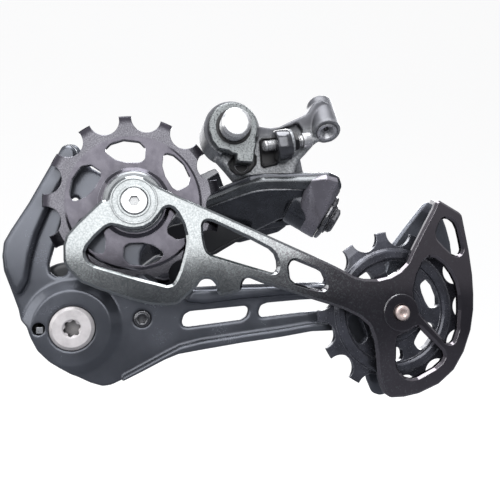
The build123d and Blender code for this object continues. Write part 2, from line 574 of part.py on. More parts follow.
def cable_clamp_plate():
    plate = rod(CLAMP_FACE + CLAMP_DIR * 0.05, CLAMP_DIR, CLAMP_R - 0.5, 1.9)
    plate = filleted(plate, rim_at(plate, CLAMP_FACE + CLAMP_DIR * 1.95), 0.9)
    return largest(plate - rod(CLAMP_FACE - CLAMP_DIR * 1, CLAMP_DIR, 2.6, 5))


def cable_clamp_bolt():
    bolt = (rod(CLAMP_FACE + CLAMP_DIR * 2.0, CLAMP_DIR, 4.8, 2.7)
            + rod(CLAMP_FACE - CLAMP_DIR * 4.4, CLAMP_DIR, 2.5, 6.6))
    bolt = filleted(bolt, rim_at(bolt, CLAMP_FACE + CLAMP_DIR * 4.7), 1.2)
    socket = Plane(origin=CLAMP_FACE + CLAMP_DIR * 2.9, x_dir=LINK_NORM, z_dir=CLAMP_DIR)
    return largest(bolt - hex_socket(socket, 2.3, 4))


save("inner_link", inner_link())
save("cable_clamp_plate", cable_clamp_plate())
save("cable_clamp_bolt", cable_clamp_bolt())

# ---- outer link ---------------------------------------------------------
# (along the link, along the pins)
SKIRT = [(10.0, 18.0), (10.0, 27.0), (11.6, 30.0), (15.5, 32.6), (24.0, 34.0), (34.0, 35.4),
         (38.5, 34.0), (42.5, 29.0), (43.5, 18.0)]
# (along the link, along its normal)
OUTER_EAR = [
    (LINK_START, 6.6), (LINK_START, -2.6), (-2.6, -4.5), (2.4, -4.5), (8.6, 0.6),
    (LINK - 8.6, 0.6), (LINK - 2.4, -4.5), (LINK + 2.6, -4.5), (LINK_END, -2.6),
    (LINK_END, 6.6)]


def outer_link():
    under, top = 4.9, 7.4            # web faces along the link's normal
    web = [(LINK_START, under), (LINK_END, under), (LINK_END, top), (LINK_START, top)]
    link = link_prism(REAR_OUT, web, 0.8, *SPAN_OUT)
    for side in SPAN_OUT:
        target = REAR_OUT + LINK_DIR * (LINK / 2) + PIN_DIR * side + LINK_NORM * top
        link = largest(chamfered(link, nearest_long_edge(link, target), 1.5))
    skirt_face = REAR_OUT + LINK_NORM * under
    skirt = web_plate(skirt_face, SKIRT, 2.0, 2.5)
    skirt = largest(filleted(skirt, edges_in_plane(skirt, skirt_face, LINK_NORM), 0.9))
    link = largest(link + skirt)
    for ear in EARS_OUT:
        link = link + link_prism(REAR_OUT, OUTER_EAR, 2.2, *ear)
    window = [(-6, 3), (6, 3), (6, 9), (-6, 9)]
    link = link - link_prism(REAR_OUT + LINK_DIR * (LINK * 0.5), window, 0, 13.0, 21.0)
    return largest(bore_pins(link, (REAR_OUT, FRONT_OUT), PIN_R + RUN))


save("outer_link", outer_link())

# ---- bracket ------------------------------------------------------------
BRACKET_BODY = [
    (-3.0, 8.0), (4.0, 7.4), (10.5, 2.6), (14.6, 2.2), (17.9, 2.8), (22.0, 5.0), (25.8, 6.8),
    (28.3, 8.2), (29.6, 10.2), (31.0, 12.4), (33.9, 13.6), (36.6, 12.4), (38.6, 7.0),
    (38.0, 2.6), (34.0, -1.0), (31.4, -2.6), (28.0, -6.4), (25.2, -9.4), (23.8, -12.6),
    (23.0, -17.0), (20.0, -19.0), (10.0, -20.4), (4.0, -20.6), (2.2, -17.0), (-1.4, -12.8),
    (-5.0, -9.0)]
ARM_POCKET = [(14.4, 0.2), (18.4, 2.0), (22.4, 3.4), (24.6, 4.6), (26.6, 2.2), (26.8, -1.6),
              (20.0, -2.2)]
# in the link frame, (along NEUTRAL, along SWING)
COLUMN = [(0.7, 5.7), (8.2, 5.7), (8.2, PIN_GAP + 3.4), (0.7, PIN_GAP + 3.4)]
REAR_WEB = [(-3.6, 0.0), (3.6, 0.0), (5.6, 6.2), (5.6, PIN_GAP + 2.6), (-3.6, PIN_GAP + 2.6),
            (-3.9, 6.0)]


def swung_clamp(angle):
    """Clamp face centre and axis after the inner link swings back by an angle."""
    axis = Axis((0, 0, 0), tuple(PIN_DIR))
    face = REAR_IN + (CLAMP_FACE - REAR_IN).rotate(axis, -angle)
    return face, CLAMP_DIR.rotate(axis, -angle)


def bracket_body():
    body = largest(outline(BRACKET_BODY, 2.2, 7.0, 15.5))
    body = largest(filleted(body, edges_at_y(body, 7.0) + edges_at_y(body, 15.5), 1.0))
    # lightening pocket in the arm
    return largest(body - outline(ARM_POCKET, 1.0, 6.0, 9.2))


def rear_pin_web():
    """Plate that spans both rear pins."""
    web = link_prism(REAR_IN, REAR_WEB, 1.0, BOSS_START + 0.2, BOSS_END - 0.2, NEUTRAL)
    # corner relief for the cable clamp's washer near the end of the travel
    for angle in range(44, 73, 4):
        face, direction = swung_clamp(angle)
        web = web - rod(face - direction * 0.3, direction, CLAMP_R - 0.1, 2.7)
    return largest(web)


def bracket():
    body = cyl(MOUNT, BRACKET_IN, BRACKET_OUT, 9.7)
    body = filleted(body, edges_at_y(body, BRACKET_OUT), 1.8)
    body = body + bracket_body()
    body = body + link_prism(REAR_IN, COLUMN, 1.6, -17.0, 4.6, NEUTRAL)
    # the inner link's clamp boss and bolt pass under the body as the link swings
    for angle in range(0, 71, 10):
        face, direction = swung_clamp(angle)
        body = body - rod(face - direction * 13.4, direction, CLAMP_R + 0.35, 15.6)
        body = body - rod(face, direction, 5.2, 5.2)
    body = body + rear_pin_web()
    body = body + pin_rod(REAR_IN, BOSS_START, 1.2, 4.3)
    body = body + pin_rod(REAR_IN, BOSS_START, BOSS_END, 3.1)
    body = body + pin_rod(REAR_OUT, 1.0, BOSS_END, 4.3)
    # room for the links at rest and through their travel
    body = body - pin_rod(REAR_IN, EARS_IN[0][0] - 0.6, BOSS_START - 0.05, 5.2)
    body = body - pin_rod(REAR_IN, BOSS_END + 0.05, 14, 10.5)
    body = clear_links(body, REAR_IN, REAR_OUT, (-9.9, 56), (-5.3, 56))
    # adjuster boss beside the stop plate, with a block that joins it to the body
    boss = rod(ADJUST_TIP + ADJUST_DIR * 4.4, ADJUST_DIR, 4.7, 6.2)
    boss = filleted(boss, boss.edges().filter_by(GeomType.CIRCLE), 0.6)
    corner = ADJUST_TIP + ADJUST_DIR * 4.8 + Vector(0, 2.0, -2.6)
    block = Plane(origin=corner, x_dir=ADJUST_DIR, z_dir=Vector(-0.188, 0, 0.982))
    body = body + boss + Solid.make_box(5.4, 6.0, 5.0, block)
    # cable housing stop: barrel, housing bore, liner seat, cable hole
    barrel = rod(CABLE_SEAT, CABLE_DIR, 5.0, 15.5)
    body = body + filleted(barrel, rim_at(barrel, CABLE_SEAT + CABLE_DIR * 15.5), 1.2)
    body = body - rod(CABLE_SEAT + CABLE_DIR * 6.0, CABLE_DIR, 2.55, 12)
    body = body - rod(CABLE_SEAT - CABLE_DIR * 1.0, CABLE_DIR, 3.02, 6.02)
    body = body - rod(CABLE_SEAT - CABLE_DIR * 1.0, CABLE_DIR, 3.65, 1.6)
    body = body - rod(CABLE_SEAT, CABLE_DIR, 1.3, 12)
    # mounting bore, recess for the stop plate's tab, adjuster screw clearance
    body = body - cyl(MOUNT, 0, 30, 6.5)
    sector = [(0, 0)] + around(MOUNT, 22, range(-112, -19, 8))
    body = body - (tube(MOUNT, 2.0, 6.8, 16.0, 7.4) & outline(sector, 0, 1.5, 7.2))
    body = body - rod(ADJUST_TIP - ADJUST_DIR * 3.0, ADJUST_DIR, 2.05, 25)
    body = body - rod(ADJUST_TIP - ADJUST_DIR * 3.0, ADJUST_DIR, 3.6, 7.0)
    body = bore_pins(body, (REAR_IN, REAR_OUT), PIN_R)
    for point in LIMITS:
        body = body - rod(point + SWING * 6.0, SWING, 1.5, 20)
    return largest(body)


def limit_screw(point):
    """Screw with a cross slot in its head."""
    top = point + SWING * 15.7
    screw = rod(point + SWING * 8.0, SWING, 1.5, 8.0) + rod(point + SWING * 14.6, SWING, 2.3, 1.9)
    for length, width in ((5, 0.6), (0.6, 5)):
        corner = top - NEUTRAL * (length / 2) - PIN_DIR * (width / 2)
        slot = Plane(origin=corner, x_dir=NEUTRAL, z_dir=SWING)
        screw = screw - Solid.make_box(length, width, 1.2, slot)
    return largest(screw)


def cable_stop_liner():
    liner = rod(CABLE_SEAT - CABLE_DIR * 0.35, CABLE_DIR, 3.6, 0.9)
    liner = liner + rod(CABLE_SEAT, CABLE_DIR, 3.0, 5.0)
    mouth = Plane(origin=CABLE_SEAT - CABLE_DIR * 0.36, z_dir=CABLE_DIR)
    liner = liner - Solid.make_cone(2.7, 1.3, 2.2, mouth)
    return largest(liner - rod(CABLE_SEAT - CABLE_DIR * 2, CABLE_DIR, 1.0, 9))


def link_pin(axis_point, start, end):
    pin = pin_rod(axis_point, start, end, PIN_R)
    return largest(chamfered(pin, list(pin.edges().filter_by(GeomType.CIRCLE)), 0.35))


def b_tension_screw():
    """Adjuster screw with a ringed thread."""
    profile = [(0, 0), (1.5, 0), (1.95, 0.45)]       # (radius, distance from the tip)
    for k in range(19):
        ring = 0.5 + 0.7 * k
        profile += [(1.95, ring + 0.05), (1.68, ring + 0.35), (1.95, ring + 0.65)]
    profile += [(1.95, 14.2), (2.7, 14.3), (2.7, 17.2), (2.3, 17.7), (0, 17.7)]
    wire = Wire.make_polygon(
        [ADJUST_TIP + ADJUST_DIR * along + Vector(0, 1, 0) * r for r, along in profile],
        close=True)
    screw = Solid.revolve(Face(wire), 360, Axis(tuple(ADJUST_TIP), tuple(ADJUST_DIR)))
    socket = Plane(origin=ADJUST_TIP + ADJUST_DIR * 16.0, x_dir=(0, 1, 0), z_dir=ADJUST_DIR)
    return largest(screw - hex_socket(socket, 1.45, 3))


save("bracket", bracket())
save("bracket_bush", tube(MOUNT, BRACKET_IN + 0.05, BRACKET_OUT - 0.05, 6.5, 5.5))
save("limit_screws", *[limit_screw(point) for point in LIMITS])
save("cable_stop_liner", cable_stop_liner())
save("rear_link_pins", link_pin(REAR_IN, -3.7, 10.9), link_pin(REAR_OUT, 1.4, 25.4))
save("front_link_pins", link_pin(FRONT_IN, -3.7, 12.4), link_pin(FRONT_OUT, 1.4, 25.4))
save("b_tension_screw", b_tension_screw())


# ---- hanger side --------------------------------------------------------
def stop_plate():
    ring = around(MOUNT, 8.5, range(-24, 209, 12)) + [
        (-7.2, -5.4), (-5.2, -7.8), (-1.6, -8.3), (-0.4, -9.2), (1.1, -9.2), (1.1, -11.9),
        (7.0, -12.1), (7.4, -8.0), (8.0, -5.6)]
    plate = chamfer_y(largest(outline(ring, 1.0, 0.0, 3.0)), 0.0, 0.4)
    # tab below the ring, turned outboard
    plate = plate + outline([(1.2, -8.3), (1.2, -11.9), (7.0, -12.0), (7.2, -8.0)], 0.5, 1.4, 6.2)
    return plate - cyl(MOUNT, -1, 7, 5.5)


def mounting_bolt():
    bolt = revolve_y(MOUNT, [
        (0, -6.3), (4.1, -6.3), (5.0, -5.4), (MOUNT_BOLT_R, 0.1), (5.42, 0.2), (5.45, 0.4),
        (5.45, BRACKET_OUT + 0.3), (7.6, BRACKET_OUT + 0.3), (8.2, BRACKET_OUT + 0.9),
        (8.2, BRACKET_OUT + 3.6), (7.4, BRACKET_OUT + 4.6), (0, BRACKET_OUT + 4.6)])
    return largest(bolt - hex_prism(MOUNT, BRACKET_OUT + 0.6, BRACKET_OUT + 6, 5.0))


save("stop_plate", stop_plate())
save("mounting_bolt", mounting_bolt())

# ---- knuckle with the damper housing ------------------------------------
COVER_SCREWS = around(PIVOT, 11.5, (100, 220, 340))
GUSSET = [(-36.0, -52.0), (-24.0, -43.0), (-20.0, -45.0), (-22.0, -52.0), (-34.0, -66.0),
          (-40.0, -64.0)]
# in the link frame, (along NEUTRAL, along SWING)
FRONT_WEB = [(-3.6, 0.0), (3.2, -1.0), (9.6, 0.8), (16.0, 1.6), (16.0, PIN_GAP + 2.0),
             (9.0, PIN_GAP + 3.4), (-3.6, PIN_GAP + 2.6), (-3.9, 6.0)]
WEB_BLOCK = [(9.9, 1.8), (18.0, 1.8), (18.0, PIN_GAP - 0.6), (9.9, PIN_GAP - 0.6)]
HORN = [(-13.0, 8.2), (9.0, 7.4), (9.0, PIN_GAP + 2.6), (-3.0, PIN_GAP + 2.6),
        (-13.0, PIN_GAP + 1.2)]
HORN_TIP = [(-13.0, 8.2), (-4.6, 7.8), (-4.6, PIN_GAP + 2.4), (-13.0, PIN_GAP + 1.2)]
# (x, z) from the cage pivot
STOP_LUG = [(8.0, 2.4), (24.4, 5.4), (23.6, 10.0), (8.0, 14.0)]


def knuckle_arm():
    """Rounded bar from the link end down to the housing."""
    top, bottom = Vector(-17.0, 35.0, -33.5), Vector(-45.0, 19.0, -60.5)
    down = (bottom - top).normalized()
    plane = Plane(origin=top - down * 2, x_dir=square_to(Vector(0, 1, 0), down), z_dir=down)
    section = [(-5.5, -6.6), (5.5, -6.6), (5.5, 6.6), (-5.5, 6.6)]
    return prism(plane, section, 3.0, down * ((bottom - top).length + 2))


def knuckle():
    body = largest(cyl(PIVOT, HOUSE_IN, HOUSE_OUT, HOUSE_R)
                   + cyl(LOBE, HOUSE_IN, HOUSE_OUT - 3.0, LOBE_R))
    body = largest(filleted(body, edges_at_y(body, HOUSE_IN), 1.2))
    body = body + knuckle_arm()
    body = body + outline(GUSSET, 3.0, 16.0, 25.0)
    # plate that spans both front pins, with a deeper block ahead of it
    body = body + link_prism(FRONT_IN, FRONT_WEB, 1.2, BOSS_START + 0.2, 4.6, NEUTRAL)
    body = body + link_prism(FRONT_IN, WEB_BLOCK, 1.2, BOSS_START + 0.2, 12.0, NEUTRAL)
    body = body + pin_rod(FRONT_IN, BOSS_START, BOSS_END, 4.3)
    body = body + pin_rod(FRONT_OUT, 1.0, BOSS_END, 4.3)
    # stop horn over the link ears
    body = body + link_prism(FRONT_IN, HORN, 1.4, -3.2, 2.0, NEUTRAL)
    body = body + link_prism(FRONT_IN, HORN_TIP, 1.2, -7.0, 1.0, NEUTRAL)
    # room for the links
    body = body - pin_rod(FRONT_IN, EARS_IN[0][0] - 0.6, BOSS_START - 0.05, 5.6)
    body = body - pin_rod(FRONT_IN, BOSS_END + 0.05, SPAN_IN[1] + 0.5, 9.4)
    body = body - pin_rod(FRONT_OUT, BOSS_END + 0.05, SPAN_OUT[1] + 0.5, 9.4)
    body = clear_links(body, FRONT_IN, FRONT_OUT, (-56, 5.3), (-56, 5.3))
    body = bore_pins(body, (FRONT_IN, FRONT_OUT), PIN_R)
    # stop lug for the cage screw
    lug = [(PIVOT[0] + x, PIVOT[1] + z) for x, z in STOP_LUG]
    body = body + outline(lug, 1.5, HOUSE_IN, 17.0)
    # cavities: cage spring inboard, damper outboard, axle bearing between
    body = body - cyl(PIVOT, HOUSE_IN - 1, 18.0, 10.4)
    body = body - cyl(PIVOT, 21.5, HOUSE_OUT + 1, 9.9)
    body = body - cyl(PIVOT, 17, 23, AXLE_R + RUN)
    for center in COVER_SCREWS:
        body = body - cyl(center, HOUSE_OUT - 5, HOUSE_OUT + 1, 0.95)
    return largest(body)


def damper_cover():
    cover = cyl(PIVOT, HOUSE_OUT + 0.05, HOUSE_OUT + 5.2, HOUSE_R - 0.1)
    cover = filleted(cover, edges_at_y(cover, HOUSE_OUT + 5.2), 2.0)
    cover = cover - cyl(PIVOT, HOUSE_OUT - 1, HOUSE_OUT + 3.4, 9.6)
    cover = cover - cyl(LEVER, HOUSE_OUT - 1, HOUSE_OUT + 8, 2.55)
    for center in COVER_SCREWS:
        cover = cover - cyl(center, HOUSE_OUT - 1, HOUSE_OUT + 8, 1.05)
        cover = cover - cyl(center, HOUSE_OUT + 3.6, HOUSE_OUT + 8, 1.55)
    return largest(cover)


def cover_screw(center):
    profile = [(0, -4), (0.95, -4), (0.95, 3.62), (1.5, 3.62), (1.5, 5.0), (1.2, 5.3), (0, 5.3)]
    screw = revolve_y(center, [(r, HOUSE_OUT + y) for r, y in profile])
    return largest(screw - hex_prism(center, HOUSE_OUT + 4.5, HOUSE_OUT + 6, 1.3))


def damper_lever():
    x, z = LEVER
    tip_x, tip_z = x - 0.80 * 14, z - 0.60 * 14
    lever = cyl(LEVER, HOUSE_OUT + 0.8, HOUSE_OUT + 6.0, 2.5)
    lever = lever + cyl(LEVER, HOUSE_OUT + 5.3, HOUSE_OUT + 8.0, 5.0)
    # arm, raised finger tab at its tip, cam inside the cover
    lever = lever + outline(
        [(x + 2.8, z - 3.6), (x - 2.8, z + 3.8), (tip_x - 1.6, tip_z + 2.6),
         (tip_x - 1.8, tip_z - 0.6), (tip_x + 1.4, tip_z - 2.6)],
        1.6, HOUSE_OUT + 5.4, HOUSE_OUT + 7.6)
    lever = lever + outline(
        [(tip_x - 1.5, tip_z + 2.2), (tip_x + 0.6, tip_z + 2.2), (tip_x + 1.6, tip_z - 2.2),
         (tip_x - 0.4, tip_z - 2.0)], 0.8, HOUSE_OUT + 5.4, HOUSE_OUT + 10.4)
    lever = lever + outline([(x - 4, z - 2), (x + 4, z - 2), (x + 4, z + 2), (x - 4, z + 2)],
                            1.0, HOUSE_OUT + 0.8, HOUSE_OUT + 3.2)
    return largest(lever)


def friction_band():
    """Band round the clutch, split on its rear side."""
    split = Plane(origin=(PIVOT[0] + 6, 15, PIVOT[1] - 1.2), x_dir=(1, 0, 0), z_dir=(0, 0, 1))
    return largest(tube(PIVOT, 21.8, 29.4, 9.6, 8.2) - Solid.make_box(6, 20, 2.4, split))


save("knuckle", knuckle())
save("knuckle_seal", tube(PIVOT, OUTER_OUT + 0.12, HOUSE_IN - 0.02, 12.4, 10.8))
save("damper_cover", damper_cover())
save("cover_screws", *[cover_screw(center) for center in COVER_SCREWS])
save("damper_lever", damper_lever())
save("one_way_clutch", tube(PIVOT, 21.7, 25.9, 8.0, AXLE_R + RUN))
save("friction_band", friction_band())


# ---- springs ------------------------------------------------------------
def helix_wire(plane, height, radius, turns):
    helix = Helix(pitch=height / turns, height=height, radius=radius)
    return Wire([helix.edge()]).moved(plane.location)


def cage_spring():
    """Square wire wound round the axle."""
    plane = Plane(origin=(PIVOT[0], 6.0, PIVOT[1]), x_dir=(1, 0, 0), z_dir=(0, 1, 0))
    path = helix_wire(plane, 16.6 - 6.0, 8.0, 4.2)
    start = path.edges()[0] @ 0
    half = 0.9
    corners = [(-half, -half), (half, -half), (half, half), (-half, half)]
    section = Face(Wire.make_polygon([start + Vector(x, y, 0) for x, y in corners], close=True))
    return Solid.sweep(section, path, is_frenet=True)


def spring_tail():
    corner = (TAIL_HOLE[0] - 0.7, OUTER_IN - 1.6, TAIL_HOLE[1] - 1.4)
    plane = Plane(origin=corner, x_dir=(1, 0, 0), z_dir=(0, 0, 1))
    return Solid.make_box(2.0, 5.4, 2.0, plane)


def link_spring():
    """Round wire wound round the outer rear pin."""
    plane = Plane(origin=REAR_OUT + PIN_DIR * 13.2, x_dir=LINK_DIR, z_dir=PIN_DIR)
    path = helix_wire(plane, 20.8 - 13.2, 3.2, 5.5)
    edge = path.edges()[0]
    section = Wire.make_circle(0.55, Plane(origin=edge @ 0, z_dir=edge % 0))
    return Solid.sweep(Face(section), path)


save("cage_spring", cage_spring())
save("spring_tail", spring_tail())
save("link_spring", link_spring())
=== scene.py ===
# A bicycle rear derailleur, dressed for a studio picture.
# Frame: metres, +Z up. The mounting bolt lies along Y through the origin; the linkage, cage and
# pulleys hang below it. The camera stands on the -Y side looking along +Y, with +X to the right.
# Part sizes and places in this script are in millimetres and are scaled by MM as meshes are
# made. The stage, lights and camera are in metres.
import bpy
import bmesh
import math
from mathutils import Vector, Matrix


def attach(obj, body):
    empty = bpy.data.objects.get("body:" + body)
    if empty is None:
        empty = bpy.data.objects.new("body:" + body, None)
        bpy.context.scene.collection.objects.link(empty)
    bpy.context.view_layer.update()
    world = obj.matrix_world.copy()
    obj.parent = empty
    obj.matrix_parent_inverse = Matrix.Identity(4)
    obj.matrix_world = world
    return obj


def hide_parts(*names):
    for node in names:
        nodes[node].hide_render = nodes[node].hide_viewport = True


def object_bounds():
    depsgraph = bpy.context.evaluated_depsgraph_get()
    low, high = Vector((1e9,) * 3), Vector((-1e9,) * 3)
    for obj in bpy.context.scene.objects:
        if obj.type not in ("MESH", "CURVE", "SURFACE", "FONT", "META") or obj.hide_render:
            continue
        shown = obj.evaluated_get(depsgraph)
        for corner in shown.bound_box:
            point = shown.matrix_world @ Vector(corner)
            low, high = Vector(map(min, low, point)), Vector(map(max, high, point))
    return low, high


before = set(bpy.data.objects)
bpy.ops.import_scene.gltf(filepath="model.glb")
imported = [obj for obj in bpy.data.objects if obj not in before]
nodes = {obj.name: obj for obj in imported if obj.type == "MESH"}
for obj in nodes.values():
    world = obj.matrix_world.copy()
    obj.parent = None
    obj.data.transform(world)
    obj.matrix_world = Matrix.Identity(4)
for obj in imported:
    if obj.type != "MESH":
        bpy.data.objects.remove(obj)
CAD_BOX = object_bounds()
MM = 0.001

# Axes that run along Y, as (X, Z) in mm
GUIDE_AXIS = (-32.6, -27.2)       # guide pulley
TENSION_AXIS = (55.2, -62.8)      # tension pulley
CAGE_AXIS = (-51.7, -66.65)       # cage pivot

Y_AXIS = (0, 1, 0)
ORIGIN = (0, 0, 0)


# ---- shader graphs ------------------------------------------------------
class Graph:
    """The node tree of a material or world, with short makers for the nodes used here."""

    def __init__(self, owner, output):
        owner.use_nodes = True
        self.tree = owner.node_tree
        self.tree.nodes.clear()
        self.output = self.node(output)
        self.coords = self.node("ShaderNodeTexCoord").outputs
        self._xyz = None

    def put(self, socket, value):
        """Link a socket, or set its value; a three-part colour gets full alpha."""
        if isinstance(value, bpy.types.NodeSocket):
            self.tree.links.new(value, socket)
            return
        if isinstance(value, tuple) and len(value) == 3 and socket.type == "RGBA":
            value = (*value, 1.0)
        socket.default_value = value

    def node(self, kind, inputs=None, **settings):
        made = self.tree.nodes.new(kind)
        for key, value in settings.items():
            setattr(made, key, value)
        for key, value in (inputs or {}).items():
            self.put(made.inputs[key], value)
        return made

    def finish(self, shader):
        self.put(self.output.inputs[0], shader.outputs[0])

    def noise(self, scale, detail=3.0, rough=0.55, vector=None):
        return self.node("ShaderNodeTexNoise", {
            "Scale": scale, "Detail": detail, "Roughness": rough,
            "Vector": vector or self.coords["Object"]}).outputs["Fac"]

    def ramp(self, value, low, high, start=0.0, end=1.0):
        """Smooth change from start to end as value goes from low to high."""
        return self.node("ShaderNodeMapRange", {
            "Value": value, "From Min": low, "From Max": high, "To Min": start, "To Max": end},
            interpolation_type="SMOOTHSTEP").outputs["Result"]

    def math(self, operation, a, b=0.0, clamp=False):
        return self.node("ShaderNodeMath", {0: a, 1: b, 2: 0.0},
                         operation=operation, use_clamp=clamp).outputs[0]

    def add(self, a, b):
        return self.math("ADD", a, b)

    def sub(self, a, b):
        return self.math("SUBTRACT", a, b)

    def mul(self, a, b):
        return self.math("MULTIPLY", a, b)

    def mix(self, factor, first, second):
        return self.node("ShaderNodeMix", {0: factor, 6: first, 7: second},
                         data_type="RGBA").outputs[2]

    def scale(self, color, factor):
        return self.node("ShaderNodeVectorMath", {0: color, 3: factor},
                         operation="SCALE").outputs[0]

    def dot(self, a, b):
        return self.node("ShaderNodeVectorMath", {0: a, 1: b},
                         operation="DOT_PRODUCT").outputs["Value"]

    def xyz(self):
        """Object coordinates in metres; one separating node is shared."""
        if self._xyz is None:
            self._xyz = self.node("ShaderNodeSeparateXYZ", {0: self.coords["Object"]}).outputs
        return self._xyz

    def radius(self, axis):
        """Distance in mm from a Y-wise axis through (X, Z) in mm."""
        x, _, z = self.xyz()
        dx = self.sub(self.mul(x, 1 / MM), axis[0])
        dz = self.sub(self.mul(z, 1 / MM), axis[1])
        return self.math("SQRT", self.add(self.mul(dx, dx), self.mul(dz, dz)))


# ---- colour fields ------------------------------------------------------
def plate_color(g):
    """Silver grain that thins towards +X, a painted reflection that is brighter at -X and darker
    towards +X, with dark cut edges on the +X half.
    """
    x = g.xyz()[0]
    start, span = -0.005, 0.050       # the change begins here and takes this long, m
    wander, share = 0.4, 0.22         # wobble of the change; its weight against the grain
    # Painted reflection: the share of bright silver falls off along +X, standing in for reflected
    # light fading across the plate.
    along = g.mul(g.add(x, -start), 1 / span)
    wobble = g.mul(g.sub(g.noise(scale=70.0, detail=3.0, rough=0.6), 0.5), wander)
    along = g.add(along, wobble)
    fine = g.noise(scale=1900.0, detail=2.0, rough=0.7)
    grain = g.ramp(g.add(g.mul(along, share), g.sub(fine, 0.5)), low=-0.02, high=0.22)
    light = g.mix(g.ramp(g.noise(scale=1700.0, detail=2.0, rough=0.6), low=0.35, high=0.65),
                  first=(0.31, 0.33, 0.335), second=(0.41, 0.43, 0.435))
    dark = g.mix(g.ramp(x, low=-0.02, high=0.05),
                 first=(0.235, 0.245, 0.25), second=(0.225, 0.205, 0.225))
    normal = g.node("ShaderNodeTexCoord").outputs["Normal"]
    flat = g.ramp(g.math("ABSOLUTE", g.dot(normal, Y_AXIS)), low=0.45, high=0.75)
    cut = g.mul(g.ramp(x, low=0.012, high=0.034), g.sub(1.0, flat))
    return g.mix(cut, first=g.mix(grain, light, dark), second=(0.070, 0.066, 0.072))


def pulley_color(g):
    """Body, grainy teeth and dark tooth tips, by distance (mm) from the guide pulley's axis."""
    r = g.radius(GUIDE_AXIS)
    fine = g.noise(scale=2600.0, detail=2.0, rough=0.7)
    rim = g.ramp(r, low=20.6, high=21.4)
    body = g.mix(g.ramp(g.noise(scale=300.0), low=0.35, high=0.65),
                 first=(0.100, 0.095, 0.112), second=(0.125, 0.119, 0.138))
    teeth = g.mix(g.ramp(fine, low=0.40, high=0.62),
                  first=(0.095, 0.092, 0.105), second=(0.165, 0.163, 0.180))
    color = g.mix(rim, body, teeth)
    wobble = 0.5      # mm
    tip = g.ramp(g.add(r, g.mul(g.noise(scale=500.0), wobble)), low=24.6, high=26.6)
    return g.mix(tip, first=color, second=(0.030, 0.028, 0.035))


def bracket_color(g):
    """Coarse light grain below a sloping line, smooth dark paint above it."""
    fine = g.noise(scale=1300.0, detail=2.0, rough=0.7)
    grainy = g.mix(g.ramp(fine, low=0.40, high=0.60),
                   first=(0.29, 0.303, 0.318), second=(0.56, 0.575, 0.595))
    x, _, z = g.xyz()
    line_x, slope = 0.0095, 0.22      # where the line's height is read (m), and its rise per X
    height = g.add(z, g.mul(g.sub(x, line_x), -slope))
    smooth = g.mix(g.ramp(g.noise(scale=240.0), low=0.3, high=0.7),
                   first=(0.125, 0.127, 0.142), second=(0.150, 0.152, 0.168))
    return g.mix(g.ramp(height, low=-0.0046, high=0.0004), grainy, smooth)


def link_color(g):
    """Black gloss, slightly uneven."""
    return g.mix(g.ramp(g.noise(scale=200.0), low=0.3, high=0.7),
                 first=(0.052, 0.056, 0.068), second=(0.078, 0.083, 0.099))


# ---- the general finish -------------------------------------------------
SCRATCH_TURNS = ((0.3, 0.5, 0.9), (1.2, 0.2, 2.1), (0.4, 2.2, 0.3))   # three scratch directions


